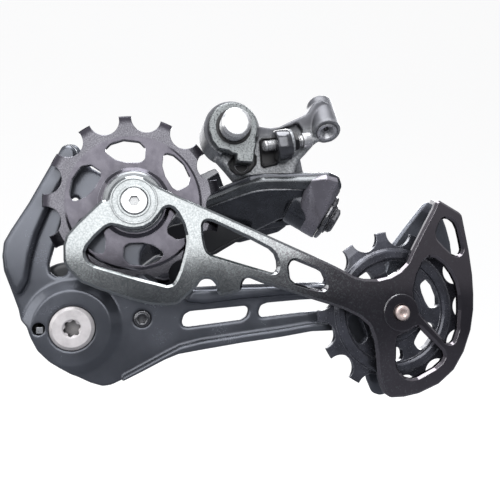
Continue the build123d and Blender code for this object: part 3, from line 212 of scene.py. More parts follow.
def surface(name, base=None, color=None, rough=0.4, metal=0.0, coat=0.0, coat_rough=0.15,
            spec=0.5, blotch=0.25, blotch_scale=300, rough_var=0.12, grain=1500,
            grain_depth=0.006, speck=None, wear_and_highlight=None, radius=0.15, scratch=0.0, rings=None,
            crease_shade=0.55):
    """One finish.

    base, color       plain colour, or a colour field that takes its place
    blotch            strength of the broad mottling
    rough_var         spread of the roughness
    grain             noise scale of the fine bump, grain_depth its depth in mm
    wear_and_highlight (colour, amount, added roughness) on exposed edges: wear, and a painted
    highlight where lighter than the paint
    wear              (colour, amount, added roughness) on exposed edges
    radius            apparent edge rounding, mm
    scratch           strength of the scratches
    rings             (axis, pitch in mm, depth) of turning marks
    crease_shade      how far creases are darkened: painted shade from ambient occlusion
    """
    material = bpy.data.materials.new(name)
    g = Graph(material, "ShaderNodeOutputMaterial")
    broad = g.noise(blotch_scale, detail=4.0, rough=0.6)
    fine = g.noise(grain, rough=0.6)

    if color:
        tint = g.scale(color(g), g.ramp(broad, low=0.3, high=0.7,
                                        start=1.0 - blotch, end=1.0 + blotch))
    else:
        tint = g.mix(g.ramp(broad, low=0.3, high=0.7),
                     first=tuple(max(0.0, c * (1.0 - blotch)) for c in base),
                     second=tuple(min(1.0, c * (1.0 + blotch)) for c in base))
    roughness = g.add(g.ramp(broad, low=0.25, high=0.75,
                             start=rough - rough_var * 0.5, end=rough + rough_var * 0.5),
                      g.mul(g.sub(fine, 0.5), rough_var))
    height = g.mul(fine, 1.0)

    if speck:
        speck_scale, threshold, speck_color, speck_rough = speck
        spots = g.noise(speck_scale, detail=2.0, rough=0.7)
        mask = g.ramp(spots, low=threshold, high=threshold + 0.06)
        tint = g.mix(mask, tint, speck_color)
        roughness = g.add(roughness, g.mul(mask, speck_rough))
        pit_depth = 0.8       # relative to the grain
        height = g.sub(height, g.mul(mask, pit_depth))

    if scratch > 0:
        groove_rough, groove_depth, groove_tint = 0.25, 1.5, 0.35     # strength in each channel
        bare = tuple(min(1.0, c * 1.8 + 0.05) for c in base)
        for turn in SCRATCH_TURNS:
            streaks = g.node("ShaderNodeMapping", {
                "Vector": g.coords["Object"], "Scale": (0.35, 5.0, 5.0),
                "Rotation": turn}).outputs[0]
            mask = g.ramp(g.noise(scale=260.0, detail=2.0, rough=0.5, vector=streaks),
                          low=0.66, high=0.70, end=scratch)
            roughness = g.add(roughness, g.mul(mask, groove_rough))
            height = g.sub(height, g.mul(mask, groove_depth))
            tint = g.mix(g.mul(mask, groove_tint), tint, bare)

    if rings:
        axis, pitch, ring_depth = rings
        runout, ring_rough = 0.04, 0.05       # unevenness in mm; roughness swing
        r = g.add(g.radius(axis), g.mul(broad, runout))
        wave = g.math("SINE", g.mul(r, 2 * math.pi / pitch))
        height = g.add(height, g.mul(wave, ring_depth))
        roughness = g.add(roughness, g.mul(wave, ring_rough))

    rounded = g.node("ShaderNodeBevel", {"Radius": radius * MM}, samples=4).outputs[0]
    # Painted shade: ambient occlusion darkens the colour in creases, recesses and between parts.
    open_sky = g.node("ShaderNodeAmbientOcclusion", {"Distance": 0.0045}, samples=4).outputs["AO"]
    crease_power = 1.6        # sharpens the fall-off into creases
    shade = g.add(g.mul(g.math("POWER", open_sky, crease_power), crease_shade), 1.0 - crease_shade)
    tint = g.scale(tint, shade)

    # Edge wear and painted highlight: every edge the bevel finds, concave ones too, takes the edge
    # colour. On most finishes this colour is lighter than the paint and stands in for light caught
    # along the edges.
    if wear_and_highlight:
        wear_and_highlight_color, amount, wear_rough = wear_and_highlight
        true_normal = g.node("ShaderNodeNewGeometry").outputs["True Normal"]
        edge = g.ramp(g.dot(rounded, true_normal), low=0.995, high=0.86)
        patchy = g.ramp(g.noise(scale=420.0, detail=4.0, rough=0.65), low=0.32, high=0.62)
        mask = g.math("MULTIPLY", g.mul(edge, patchy), amount, clamp=True)
        tint = g.mix(mask, tint, wear_and_highlight_color)
        roughness = g.add(roughness, g.mul(mask, wear_rough))

    bump = g.node("ShaderNodeBump", {"Strength": 1.0, "Distance": grain_depth * MM,
                                     "Height": height, "Normal": rounded})
    least_rough = 0.05
    g.finish(g.node("ShaderNodeBsdfPrincipled", {
        "Base Color": tint, "Metallic": metal,
        "Roughness": g.math("MAXIMUM", roughness, least_rough), "Normal": bump.outputs[0],
        "Coat Weight": coat, "Coat Roughness": coat_rough, "Coat Normal": rounded,
        "Specular IOR Level": spec}))
    return material


# ---- the finishes -------------------------------------------------------
# Edge wear and painted edge highlight shared by several finishes: colour, amount, added roughness
BRIGHT_WEAR_AND_HIGHLIGHT = ((0.85, 0.85, 0.85), 0.4, -0.05)
CAST_WEAR_AND_HIGHLIGHT = ((0.55, 0.56, 0.58), 0.5, 0.0)
HOUSING_WEAR_AND_HIGHLIGHT = ((0.22, 0.23, 0.25), 0.6, 0.0)

# Gloss paint of the links
LINK_PAINT = dict(metal=0.7, coat_rough=0.10, blotch=0.2, blotch_scale=150, rough_var=0.08,
                  grain=1300, grain_depth=0.003, wear_and_highlight=((0.42, 0.43, 0.46), 0.75, 0.0),
                  radius=0.55, scratch=0.15)

FINISHES = {
    "graphite_blast": dict(
        color=plate_color, rough=0.105, metal=1.0, blotch=0.06, blotch_scale=90, rough_var=0.04,
        grain=1900, grain_depth=0.0028, wear_and_highlight=((0.70, 0.72, 0.74), 0.55, 0.04), radius=0.26),
    "blue_grey_satin": dict(
        base=(0.135, 0.144, 0.168), rough=0.24, metal=0.65, coat=0.25, coat_rough=0.12,
        blotch=0.14, blotch_scale=60, rough_var=0.08, grain=1900, grain_depth=0.003,
        wear_and_highlight=((0.40, 0.41, 0.45), 0.7, 0.0), radius=0.50),
    "grey_cast_paint": dict(
        color=bracket_color, rough=0.36, metal=0.40, coat=0.1, coat_rough=0.3, blotch=0.12,
        blotch_scale=80, grain=1700, grain_depth=0.008, wear_and_highlight=CAST_WEAR_AND_HIGHLIGHT, radius=0.45, crease_shade=0.7),
    "speckled_cast_steel": dict(
        base=(0.25, 0.265, 0.268), rough=0.30, metal=0.9, blotch=0.2, blotch_scale=200,
        grain=1700, grain_depth=0.014, speck=(1900, 0.55, (0.08, 0.083, 0.09), 0.1),
        wear_and_highlight=((0.5, 0.51, 0.52), 0.7, -0.1), radius=0.28),
    "bright_plate_steel": dict(
        base=(0.80, 0.805, 0.815), rough=0.24, metal=0.72, blotch=0.10, grain=1800,
        grain_depth=0.004, wear_and_highlight=BRIGHT_WEAR_AND_HIGHLIGHT, scratch=0.5),
    "warm_plate_steel": dict(
        base=(0.80, 0.765, 0.77), rough=0.42, metal=0.35, blotch=0.10, blotch_scale=260,
        wear_and_highlight=((0.86, 0.84, 0.84), 0.4, -0.05), radius=0.22, scratch=0.5,
        rings=(CAGE_AXIS, 0.55, 0.3), crease_shade=0.8),
    "turned_bolt_steel": dict(
        base=(0.72, 0.73, 0.74), rough=0.22, metal=1.0, blotch=0.10, grain=1600,
        grain_depth=0.005, wear_and_highlight=BRIGHT_WEAR_AND_HIGHLIGHT, rings=(GUIDE_AXIS, 0.40, 0.8)),
    "copper_washed_steel": dict(
        base=(0.80, 0.66, 0.62), rough=0.34, metal=0.55, blotch=0.16, blotch_scale=380,
        wear_and_highlight=((0.9, 0.88, 0.87), 0.6, -0.05), rings=(TENSION_AXIS, 0.5, 0.5)),
    "pressed_cap_steel": dict(
        base=(0.26, 0.27, 0.28), rough=0.20, metal=1.0, blotch=0.12, blotch_scale=260,
        rings=(GUIDE_AXIS, 0.32, 0.9)),
    "pressed_cap_dark": dict(
        base=(0.20, 0.205, 0.22), rough=0.30, metal=0.9, blotch=0.15, blotch_scale=260,
        rings=(TENSION_AXIS, 0.32, 0.9)),
    "black_oxide_steel": dict(
        base=(0.030, 0.031, 0.035), rough=0.32, metal=0.6, blotch=0.3,
        wear_and_highlight=((0.18, 0.18, 0.19), 0.6, 0.0)),
    "socket_screw_steel": dict(
        base=(0.15, 0.152, 0.162), rough=0.26, metal=0.9, blotch_scale=400,
        wear_and_highlight=((0.62, 0.62, 0.64), 0.9, -0.05), radius=0.22),
    "ground_pin_steel": dict(
        base=(0.45, 0.46, 0.48), rough=0.28, metal=1.0, blotch=0.15, blotch_scale=350,
        grain=1600, speck=(900, 0.62, (0.16, 0.15, 0.14), 0.2)),
    "oiled_spring_steel": dict(
        base=(0.34, 0.35, 0.37), rough=0.26, metal=1.0, blotch_scale=500, grain=1400,
        grain_depth=0.008, wear_and_highlight=((0.5, 0.5, 0.5), 0.5, 0.0), radius=0.12),
    "bearing_bronze": dict(
        base=(0.52, 0.38, 0.20), rough=0.34, metal=1.0, blotch_scale=400, grain=1400,
        grain_depth=0.010),
    "gloss_black_paint": dict(
        LINK_PAINT, base=(0.045, 0.048, 0.058), color=link_color, rough=0.27, coat=0.8),
    # Lighter copy of the link paint: painted light on the up-facing band.
    "link_band_painted_light": dict(
        LINK_PAINT, base=(0.125, 0.134, 0.142), rough=0.26, coat=0.6),
    # Light grey on the black link: a painted highlight along the ridge.
    "link_ridge_painted_highlight": dict(
        base=(0.40, 0.41, 0.43), rough=0.28, metal=0.6, coat=0.5, coat_rough=0.10, blotch=0.3,
        blotch_scale=220, grain_depth=0.003),
    # Purple-grey on the black link: a painted reflection of the gloss coat on the boss.
    "link_boss_painted_reflection": dict(
        base=(0.30, 0.285, 0.325), rough=0.26, metal=0.65, coat=0.5, coat_rough=0.10,
        blotch=0.12, blotch_scale=150, rough_var=0.06, grain_depth=0.003,
        wear_and_highlight=((0.45, 0.45, 0.48), 0.6, 0.0), radius=0.55, scratch=0.10),
    "dark_housing_paint": dict(
        base=(0.035, 0.038, 0.046), rough=0.30, metal=0.3, coat=0.5, blotch=0.22,
        blotch_scale=90, grain=1600, grain_depth=0.008, wear_and_highlight=HOUSING_WEAR_AND_HIGHLIGHT, radius=0.50),
    "seal_rubber": dict(
        base=(0.020, 0.020, 0.021), rough=0.62, spec=0.35, blotch=0.3, blotch_scale=400,
        grain=1100, grain_depth=0.02, radius=0.2),
    "moulded_black": dict(
        base=(0.024, 0.025, 0.028), rough=0.48, spec=0.45, blotch_scale=250, grain=800,
        grain_depth=0.03, radius=0.35, wear_and_highlight=((0.10, 0.10, 0.11), 0.6, 0.0)),
    "cover_anodised": dict(
        base=(0.085, 0.088, 0.098), rough=0.33, metal=0.8, blotch=0.18, blotch_scale=200,
        radius=0.35, wear_and_highlight=((0.3, 0.31, 0.33), 0.6, -0.05), rings=(CAGE_AXIS, 0.45, 0.5)),
    "pulley_filled_acetal": dict(
        color=pulley_color, rough=0.12, metal=0.95, blotch=0.10, blotch_scale=120,
        rough_var=0.04, grain=1900, grain_depth=0.0025,
        wear_and_highlight=((0.50, 0.50, 0.56), 0.6, -0.02), radius=0.38),
    "pulley_gloss_resin": dict(
        base=(0.085, 0.088, 0.108), rough=0.22, metal=0.6, spec=0.6, coat=0.6, coat_rough=0.10,
        blotch_scale=140, rough_var=0.08, grain=1700, grain_depth=0.003,
        speck=(1900, 0.64, (0.16, 0.16, 0.185), 0.10), wear_and_highlight=((0.50, 0.51, 0.56), 0.8, 0.0),
        radius=0.42),
    "clutch_steel": dict(
        base=(0.38, 0.39, 0.41), rough=0.3, metal=1.0, blotch=0.2, radius=0.2,
        rings=(CAGE_AXIS, 0.4, 0.6)),
    "crinkled_clamp_steel": dict(
        base=(0.30, 0.30, 0.31), rough=0.26, metal=1.0, blotch=0.35, blotch_scale=500,
        grain=520, grain_depth=0.14, speck=(900, 0.58, (0.04, 0.04, 0.045), 0.15),
        wear_and_highlight=((0.7, 0.7, 0.72), 0.8, -0.1), radius=0.30),
    "ferrule_liner_steel": dict(
        base=(0.74, 0.75, 0.78), rough=0.30, metal=0.55, blotch=0.15, blotch_scale=400,
        grain_depth=0.010, radius=0.2, speck=(1200, 0.60, (0.22, 0.22, 0.24), 0.1)),
    "gloss_dark_boss": dict(
        base=(0.11, 0.113, 0.125), rough=0.20, metal=0.8, coat=0.8, coat_rough=0.06, blotch=0.2,
        blotch_scale=200, rough_var=0.06, grain_depth=0.003,
        wear_and_highlight=((0.3, 0.3, 0.33), 0.6, 0.0), radius=0.30),
    # Darker, duller copy of the knuckle's paint: painted shade for the knuckle arm behind the cage
    # plates.
    "arm_shaded_paint": dict(
        base=(0.010, 0.011, 0.015), rough=0.42, spec=0.30, blotch=0.22, blotch_scale=120,
        grain=1600, wear_and_highlight=HOUSING_WEAR_AND_HIGHLIGHT, radius=0.35),
    "lug_painted_face": dict(
        base=(0.62, 0.63, 0.67), rough=0.34, metal=0.35, blotch=0.15, blotch_scale=200,
        grain=1600, grain_depth=0.008, wear_and_highlight=CAST_WEAR_AND_HIGHLIGHT, radius=0.25),
    # Black nylon for the lock ring; the same black is painted shade for the recess trays and the
    # ring round the mounting bolt.
    "black_nylon_and_painted_shade": dict(
        base=(0.014, 0.014, 0.016), rough=0.42, blotch=0.2, grain=1200, grain_depth=0.010,
        radius=0.2),
}
MATERIALS = {name: surface(name, **settings) for name, settings in FINISHES.items()}

# Which CAD parts wear which finish; any part not listed is black oxide steel
PARTS_BY_FINISH = {
    "graphite_blast": ("inner_cage_plate",),
    "blue_grey_satin": ("outer_cage_plate",),
    "grey_cast_paint": ("bracket",),
    "speckled_cast_steel": ("stop_plate",),
    "bright_plate_steel": ("mounting_bolt", "b_tension_screw", "guide_bush_outer",
                           "tension_bearing_balls"),
    "warm_plate_steel": ("cage_axle_bolt",),
    "turned_bolt_steel": ("guide_pulley_bolt",),
    "copper_washed_steel": ("tension_pulley_bolt",),
    "pressed_cap_steel": ("guide_dust_caps",),
    "pressed_cap_dark": ("tension_dust_caps",),
    "ground_pin_steel": ("cage_axle", "front_link_pins", "rear_link_pins", "guide_bush_inner",
                         "spring_tail", "tension_bearing_inner", "tension_bearing_outer"),
    "oiled_spring_steel": ("cage_spring", "friction_band", "link_spring"),
    "bearing_bronze": ("bracket_bush",),
    "gloss_black_paint": ("inner_link", "outer_link"),
    "dark_housing_paint": ("knuckle",),
    "seal_rubber": ("knuckle_seal",),
    "moulded_black": ("damper_lever",),
    "cover_anodised": ("damper_cover",),
    "pulley_filled_acetal": ("guide_pulley",),
    "pulley_gloss_resin": ("tension_pulley",),
    "clutch_steel": ("one_way_clutch",),
    "crinkled_clamp_steel": ("cable_clamp_bolt", "cable_clamp_plate"),
    "ferrule_liner_steel": ("cable_stop_liner",),
}
FINISH_OF = {part: finish for finish, parts in PARTS_BY_FINISH.items() for part in parts}


def dress(obj, material):
    if not obj.material_slots:
        obj.data.materials.append(material)
        return
    for slot in obj.material_slots:
        slot.link = "OBJECT"
        slot.material = material


for name, obj in nodes.items():
    dress(obj, MATERIALS[FINISH_OF.get(name, "black_oxide_steel")])


# ---- softened CAD parts -------------------------------------------------
def soften(obj, voxel, rounds):
    """Roll the edges over: a fine voxel skin (mm), then rounds of smoothing."""
    skin = obj.modifiers.new("skin", "REMESH")
    skin.mode = "VOXEL"
    skin.voxel_size = voxel * MM
    skin.use_smooth_shade = True
    relax = obj.modifiers.new("relax", "SMOOTH")
    relax.factor = 0.5
    relax.iterations = rounds


# Part, voxel in mm, smoothing rounds
SOFT_PARTS = (
    ("bracket", 0.24, 9), ("inner_link", 0.24, 12), ("outer_link", 0.28, 8),
    ("knuckle", 0.34, 10), ("outer_cage_plate", 0.30, 8), ("stop_plate", 0.16, 6),
    ("damper_lever", 0.20, 8),
)
for name, voxel, rounds in SOFT_PARTS:
    if name in nodes:
        soften(nodes[name], voxel, rounds)


# ---- mesh helpers -------------------------------------------------------
def piece(name, bm, body, finish, replaces=(), sharp=38.0):
    """Turn a bmesh into an object on a body; edges over sharp degrees stay crisp."""
    bmesh.ops.recalc_face_normals(bm, faces=bm.faces)
    mesh = bpy.data.meshes.new(name)
    bm.normal_update()
    for face in bm.faces:
        face.smooth = True
    for edge in bm.edges:
        if len(edge.link_faces) == 2 and edge.calc_face_angle(0.0) > math.radians(sharp):
            edge.smooth = False
    bm.to_mesh(mesh)
    bm.free()
    obj = bpy.data.objects.new(name, mesh)
    bpy.context.scene.collection.objects.link(obj)
    obj.data.materials.append(MATERIALS[finish])
    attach(obj, body)
    if replaces:
        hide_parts(*replaces)
    return obj


def loft(bm, rows):
    """Join successive closed rows of vertices with quads."""
    for a, b in zip(rows, rows[1:]):
        for i in range(len(a)):
            j = (i + 1) % len(a)
            bm.faces.new((a[i], a[j], b[j], b[i]))


def axis_frame(axis):
    """Unit axis and two unit directions across it."""
    along = Vector(axis).normalized()
    across = Vector((0, 0, 1)).cross(along)
    if across.length < 0.1:
        across = Vector((1, 0, 0)).cross(along)
    across.normalize()
    return along, across, along.cross(across)


def lathe(name, origin, axis, rings, body, finish, segments=96, closed=False,
          replaces=(), sharp=38.0):
    """Skin over rings (station along the axis, radius), in mm.

    A radius may be a function of the angle. A closed skin joins its last ring to its first;
    otherwise both ends are capped to a point on the axis.
    """
    along, u, v = axis_frame(axis)
    start = Vector(origin)
    bm = bmesh.new()
    rows = []
    for t, radius in rings:
        row = []
        for i in range(segments):
            a = 2 * math.pi * i / segments
            r = radius(a) if callable(radius) else radius
            row.append(bm.verts.new(
                (start + along * t + (u * math.cos(a) + v * math.sin(a)) * r) * MM))
        rows.append(row)
    if closed:
        loft(bm, rows + rows[:1])
    else:
        loft(bm, rows)
        first = bm.verts.new((start + along * rings[0][0]) * MM)
        last = bm.verts.new((start + along * rings[-1][0]) * MM)
        for i in range(segments):
            j = (i + 1) % segments
            bm.faces.new((rows[0][j], rows[0][i], first))
            bm.faces.new((rows[-1][i], rows[-1][j], last))
    return piece(name, bm, body, finish, replaces, sharp)


def hexagon(flats):
    """Radius of a hexagon of the given width across flats."""
    return lambda a: flats / 2 / math.cos((a % (math.pi / 3)) - math.pi / 6)


def thread(t0, t1, radius, depth, pitch, per_turn):
    """Rings of a helical thread that fades in and out over one pitch."""
    rings = []
    count = int(abs(t1 - t0) / pitch * per_turn)
    for k in range(count + 1):
        t = t0 + (t1 - t0) * k / count
        fade = min(1.0, abs(t - t0) / pitch, abs(t1 - t) / pitch)

        def profile(a, t=t, fade=fade):
            phase = (t / pitch - a / (2 * math.pi)) % 1.0
            groove = 1.0 - abs(2 * phase - 1.0)
            groove = min(1.0, max(0.0, groove * 1.25 - 0.125))    # flat crests and roots
            return radius - depth * fade * groove
        rings.append((t, profile))
    return rings


def keyhole(radius, drop):
    """A circle whose underside is carried down by drop."""
    def profile(a):
        side, rise = abs(math.cos(a)), math.sin(a)
        if rise >= 0.0:
            return radius
        if side > 1e-6 and radius / side * -rise <= drop:
            return radius / side
        return -drop * rise + math.sqrt(max(0.0, (drop * rise) ** 2 - drop * drop
                                            + radius * radius))
    return profile


def crinkle(radius, height, seed):
    """A circle with an uneven ripple."""
    return lambda a: radius + height * (math.sin(7 * a + seed) * 0.5
                                        + math.sin(12 * a + 1.7 * seed) * 0.35
                                        + math.sin(19 * a + 0.6 * seed) * 0.25)


# ---- mounting bolt: threaded end, plain shank, head with a hex socket ---
BOLT_THREAD_RADIUS = 4.98
BOLT_SHANK_RADIUS = 5.44
BOLT_RINGS = [
    (-6.3, 3.2), (-6.3, 4.0), (-6.22, 4.25), (-5.75, 4.62),
    *thread(-5.45, -0.25, BOLT_THREAD_RADIUS, depth=0.58, pitch=1.0, per_turn=12),
    (0.3, BOLT_THREAD_RADIUS), (0.42, 5.4), (0.6, BOLT_SHANK_RADIUS), (21.3, BOLT_SHANK_RADIUS),
    (21.3, 7.5), (21.5, 7.9), (21.9, 8.15), (24.5, 8.15), (25.1, 7.95), (25.5, 7.5),
    (25.6, 7.0), (25.6, 3.6), (25.35, hexagon(5.3)), (25.2, hexagon(5.0)),
    (21.7, hexagon(5.0)), (21.6, 1.6),
]
lathe("mounting_bolt_threaded", ORIGIN, Y_AXIS, BOLT_RINGS, "hanger_side",
      "bright_plate_steel", segments=120, replaces=("mounting_bolt",))

# ---- B-tension screw and what surrounds it; stations run from its tip ---
SCREW_TIP = (10.9, 3.2, -5.6)
SCREW_AXIS = (0.982, 0, 0.188)
SCREW_RADIUS = 1.95
SCREW_RINGS = [
    (0.0, 1.0), (0.02, 1.35), (0.4, 1.72),
    *thread(0.6, 13.9, SCREW_RADIUS, depth=0.30, pitch=0.7, per_turn=10),
    (14.2, SCREW_RADIUS), (14.3, 2.5), (14.45, 2.68), (16.9, 2.68), (17.35, 2.55),
    (17.65, 2.25), (17.7, 2.0), (17.68, 1.62), (17.45, hexagon(2.55)), (16.1, hexagon(2.5)),
    (16.0, 0.7),
]
lathe("b_tension_screw_threaded", SCREW_TIP, SCREW_AXIS, SCREW_RINGS, "b_screw",
      "bright_plate_steel", segments=84, replaces=("b_tension_screw",))

# Glossy barrel round the thread: station, radius, drop of the underside
BARREL_BORE = 2.15
BARREL = [
    (4.2, 3.9, 0.8), (4.32, 4.3, 1.0), (4.6, 4.64, 1.2), (5.1, 4.88, 1.3),
    (8.9, 4.88, 1.3), (9.4, 4.72, 1.2), (9.7, 4.4, 1.0), (9.8, 3.9, 0.8),
]
BARREL_RINGS = [
    (BARREL[0][0], BARREL_BORE),
    *((t, keyhole(radius, drop)) for t, radius, drop in BARREL),
    (BARREL[-1][0], BARREL_BORE),
]
lathe("adjuster_barrel", SCREW_TIP, SCREW_AXIS, BARREL_RINGS, "bracket",
      "gloss_dark_boss", closed=True)

# Lock ring: round flange, then a hexagon
COLLAR_BORE = 2.05
COLLAR_RINGS = [
    (9.9, COLLAR_BORE), (9.9, 3.7), (10.15, 3.95), (10.7, 3.95), (11.0, 3.7), (11.0, 2.9),
    (11.15, hexagon(5.9)), (12.3, hexagon(5.9)), (12.5, 2.7), (12.5, COLLAR_BORE),
]
lathe("adjuster_collar", SCREW_TIP, SCREW_AXIS, COLLAR_RINGS, "bracket",
      "black_nylon_and_painted_shade", segments=60, closed=True)

# ---- thin black ring round the mounting bolt, where the thread meets the shank: painted shade of the gap by the stop plate -
SHADE_RING_BORE = 5.12
SHADE_RING_RINGS = [(-0.06, SHADE_RING_BORE), (-0.06, 5.95), (0.02, 6.15), (0.3, 6.15), (0.3, SHADE_RING_BORE)]
lathe("stub_shade_ring", ORIGIN, Y_AXIS, SHADE_RING_RINGS, "hanger_side",
      "black_nylon_and_painted_shade", closed=True)


# ---- shallow black trays on the bracket: painted shade in its recesses ---
def dish(name, outline, y_lip, y_back, rim, finish):
    """Tray with a rounded rim, its floor sunk from y_lip towards y_back.

    The outline is (X, Z) in mm; rim is the rim's width as a share of the outline.
    """
    per_edge, arc_steps = 6, 5
    count = len(outline)
    cx = sum(p[0] for p in outline) / count
    cz = sum(p[1] for p in outline) / count
    dense = []
    for a, b in zip(outline, outline[1:] + outline[:1]):
        for k in range(per_edge):
            t = k / per_edge
            dense.append((a[0] + (b[0] - a[0]) * t, a[1] + (b[1] - a[1]) * t))
    bm = bmesh.new()

    def ring(scale, y):
        return [bm.verts.new(Vector((cx + (x - cx) * scale, y, cz + (z - cz) * scale)) * MM)
                for x, z in dense]

    depth = y_back - y_lip
    rows = [ring(1.0, y_back)]
    for k in range(arc_steps + 1):
        a = math.pi / 2 * k / arc_steps
        rows.append(ring(1.0 - rim * (1 - math.cos(a)), y_lip + depth * (1 - math.sin(a)) * 0.6))
    for k in range(1, arc_steps + 1):
        a = math.pi / 2 * k / arc_steps
        rows.append(ring(1.0 - rim * (1 + math.sin(a)), y_lip + depth * 0.7 * (1 - math.cos(a))))
    loft(bm, rows)
    bm.faces.new(rows[-1])
    bm.faces.new(list(reversed(rows[0])))
    # Eases the corners of the outline
    bmesh.ops.smooth_vert(bm, verts=[v for row in rows[1:] for v in row], factor=0.5,
                          use_axis_x=True, use_axis_z=True)
    return piece(name, bm, "bracket", finish)


# Outlines: X, Z
ADJUSTER_RECESS = [(10.3, -3.0), (11.2, -1.7), (15.3, -1.4), (16.9, -2.7), (17.1, -11.1),
                   (12.0, -12.5), (10.9, -11.5)]
STOP_RECESS = [(-1.1, -11.2), (0.5, -9.1), (8.3, -7.1), (9.5, -8.3), (9.4, -11.2),
               (7.3, -13.9), (4.4, -15.4), (1.9, -15.3), (-0.1, -13.6)]
STOP_LUG = [(1.4, -12.0), (2.4, -11.7), (5.4, -11.6), (6.4, -11.8), (6.2, -12.7), (5.6, -13.5),
            (4.9, -14.05), (3.9, -14.4), (2.9, -14.15), (2.1, -13.6), (1.6, -12.9)]

# Black floors: painted shade in the recesses by the adjuster and the stop tab.
dish("adjuster_recess", ADJUSTER_RECESS, y_lip=6.0, y_back=7.1, rim=0.10,
     finish="black_nylon_and_painted_shade")
dish("stop_recess", STOP_RECESS, y_lip=6.3, y_back=7.0, rim=0.08,
     finish="black_nylon_and_painted_shade")

# ---- inner link: its own frame, and the cable clamp's axis --------------
LINK_ORIGIN = Vector((34.0, 13.0, -19.5))
LINK_ALONG = Vector((-0.91488361, 0.37502094, -0.14937049))
LINK_PIN = Vector((0.37697727, 0.66139034, -0.6484219))
LINK_ACROSS = Vector((0.14438217, 0.64955145, 0.74648289))
CLAMP_CENTRE = Vector((36.6, 12.0, -28.8))
CLAMP_AXIS = Vector((0.83, -0.25, -0.50)).normalized()


def link_point(s, q, n):
    """A place in mm: s along the link, q along its pins, n across it (-Y face near n = -8)."""
    return LINK_ORIGIN + LINK_ALONG * s + LINK_PIN * q + LINK_ACROSS * n


def link_band(name, outline, foot, crown, bevel, body, finish):
    """Flat band on the link's face, from n = foot out to n = crown, its rim rolled over."""
    spacing, smoothing, arc_steps = 0.9, 3, 5
    dense = []
    for a, b in zip(outline, outline[1:] + outline[:1]):
        steps = max(1, int(math.hypot(b[0] - a[0], b[1] - a[1]) / spacing))
        for k in range(steps):
            dense.append((a[0] + (b[0] - a[0]) * k / steps, a[1] + (b[1] - a[1]) * k / steps))
    count = len(dense)
    for _ in range(smoothing):
        dense = [tuple((dense[i - 1][c] + 2 * dense[i][c] + dense[(i + 1) % count][c]) / 4
                       for c in (0, 1)) for i in range(count)]
    double_area = sum(dense[i - 1][0] * dense[i][1] - dense[i][0] * dense[i - 1][1]
                      for i in range(count))
    sign = 1.0 if double_area > 0 else -1.0
    inward = []
    for i in range(count):
        a, b = dense[i - 1], dense[(i + 1) % count]
        ds, dq = b[0] - a[0], b[1] - a[1]
        length = math.hypot(ds, dq) or 1.0
        inward.append((-dq / length * sign, ds / length * sign))
    profile = [(0.0, foot), (0.0, crown + bevel)]     # inset, n
    for k in range(1, arc_steps + 1):
        a = math.pi / 2 * k / arc_steps
        profile.append((bevel * (1 - math.cos(a)), crown + bevel * (1 - math.sin(a))))
    bm = bmesh.new()
    rows = [[bm.verts.new(link_point(p[0] + w[0] * inset, p[1] + w[1] * inset, n) * MM)
             for p, w in zip(dense, inward)] for inset, n in profile]
    loft(bm, rows)
    bm.faces.new(rows[-1])
    bm.faces.new(list(reversed(rows[0])))
    return piece(name, bm, body, finish, sharp=50.0)


# Outline: s, q
UPPER_BAND = [
    (40.4, -12.4), (38.2, -12.8), (32.6, -14.0), (25.5, -16.0), (18.8, -17.1), (11.3, -15.6),
    (0.6, -13.2), (-3.0, -12.6), (-3.0, -9.6), (2.3, -9.0), (8.7, -10.7), (15.5, -12.3),
    (19.8, -12.7), (26.2, -12.0), (36.6, -9.6), (41.0, -8.6),
]
# Its lighter paint is painted light on the up-facing band.
link_band("inner_link_upper_band", UPPER_BAND, foot=-6.6, crown=-8.9, bevel=0.9,
          body="inner_link", finish="link_band_painted_light")


def bead(name, path, radius, body, finish):
    """Thin round ridge along a path of points in mm, tapered at both ends."""
    per_span, smoothing, segments = 8, 6, 10
    points = [a.lerp(b, k / per_span) for a, b in zip(path, path[1:]) for k in range(per_span)]
    points.append(path[-1])
    count = len(points)
    for _ in range(smoothing):
        middle = [(points[i - 1] + 2 * points[i] + points[i + 1]) / 4
                  for i in range(1, count - 1)]
        points = [points[0]] + middle + [points[-1]]
    bm = bmesh.new()
    rows = []
    for i, centre in enumerate(points):
        along = (points[min(i + 1, count - 1)] - points[max(i - 1, 0)]).normalized()
        u = LINK_ACROSS.cross(along).normalized()
        v = along.cross(u)
        r = radius * min(1.0, 0.15 + 4.0 * min(i, count - 1 - i) / count)
        row = []
        for k in range(segments):
            a = 2 * math.pi * k / segments
            row.append(bm.verts.new((centre + (u * math.cos(a) + v * math.sin(a)) * r) * MM))
        rows.append(row)
    loft(bm, rows)
    bm.faces.new(list(reversed(rows[0])))
    bm.faces.new(rows[-1])
    return piece(name, bm, body, finish)


# Ridge along the band's edge, light grey as a painted highlight: s, q
RIDGE_N = -8.62
RIDGE = [
    (40.6, -8.7), (36.6, -9.7), (31.4, -10.9), (26.2, -12.0), (22.6, -12.6), (19.8, -12.75),
    (15.5, -12.3), (12.0, -11.5), (8.7, -10.75), (4.4, -9.4),
]
bead("inner_link_ridge", [link_point(s, q, RIDGE_N) for s, q in RIDGE], radius=0.42,
     body="inner_link", finish="link_ridge_painted_highlight")


# ---- gusset from the inner link to the clamp boss -----------------------
def soft_hull(name, points, voxel, rounds, body, finish):
    """Convex hull round the points (mm), with soft corners."""
    bm = bmesh.new()
    for point in points:
        bm.verts.new(Vector(point) * MM)
    bmesh.ops.convex_hull(bm, input=bm.verts)
    bmesh.ops.delete(bm, geom=[v for v in bm.verts if not v.link_faces], context="VERTS")
    obj = piece(name, bm, body, finish, sharp=180.0)
    soften(obj, voxel, rounds)
    return obj


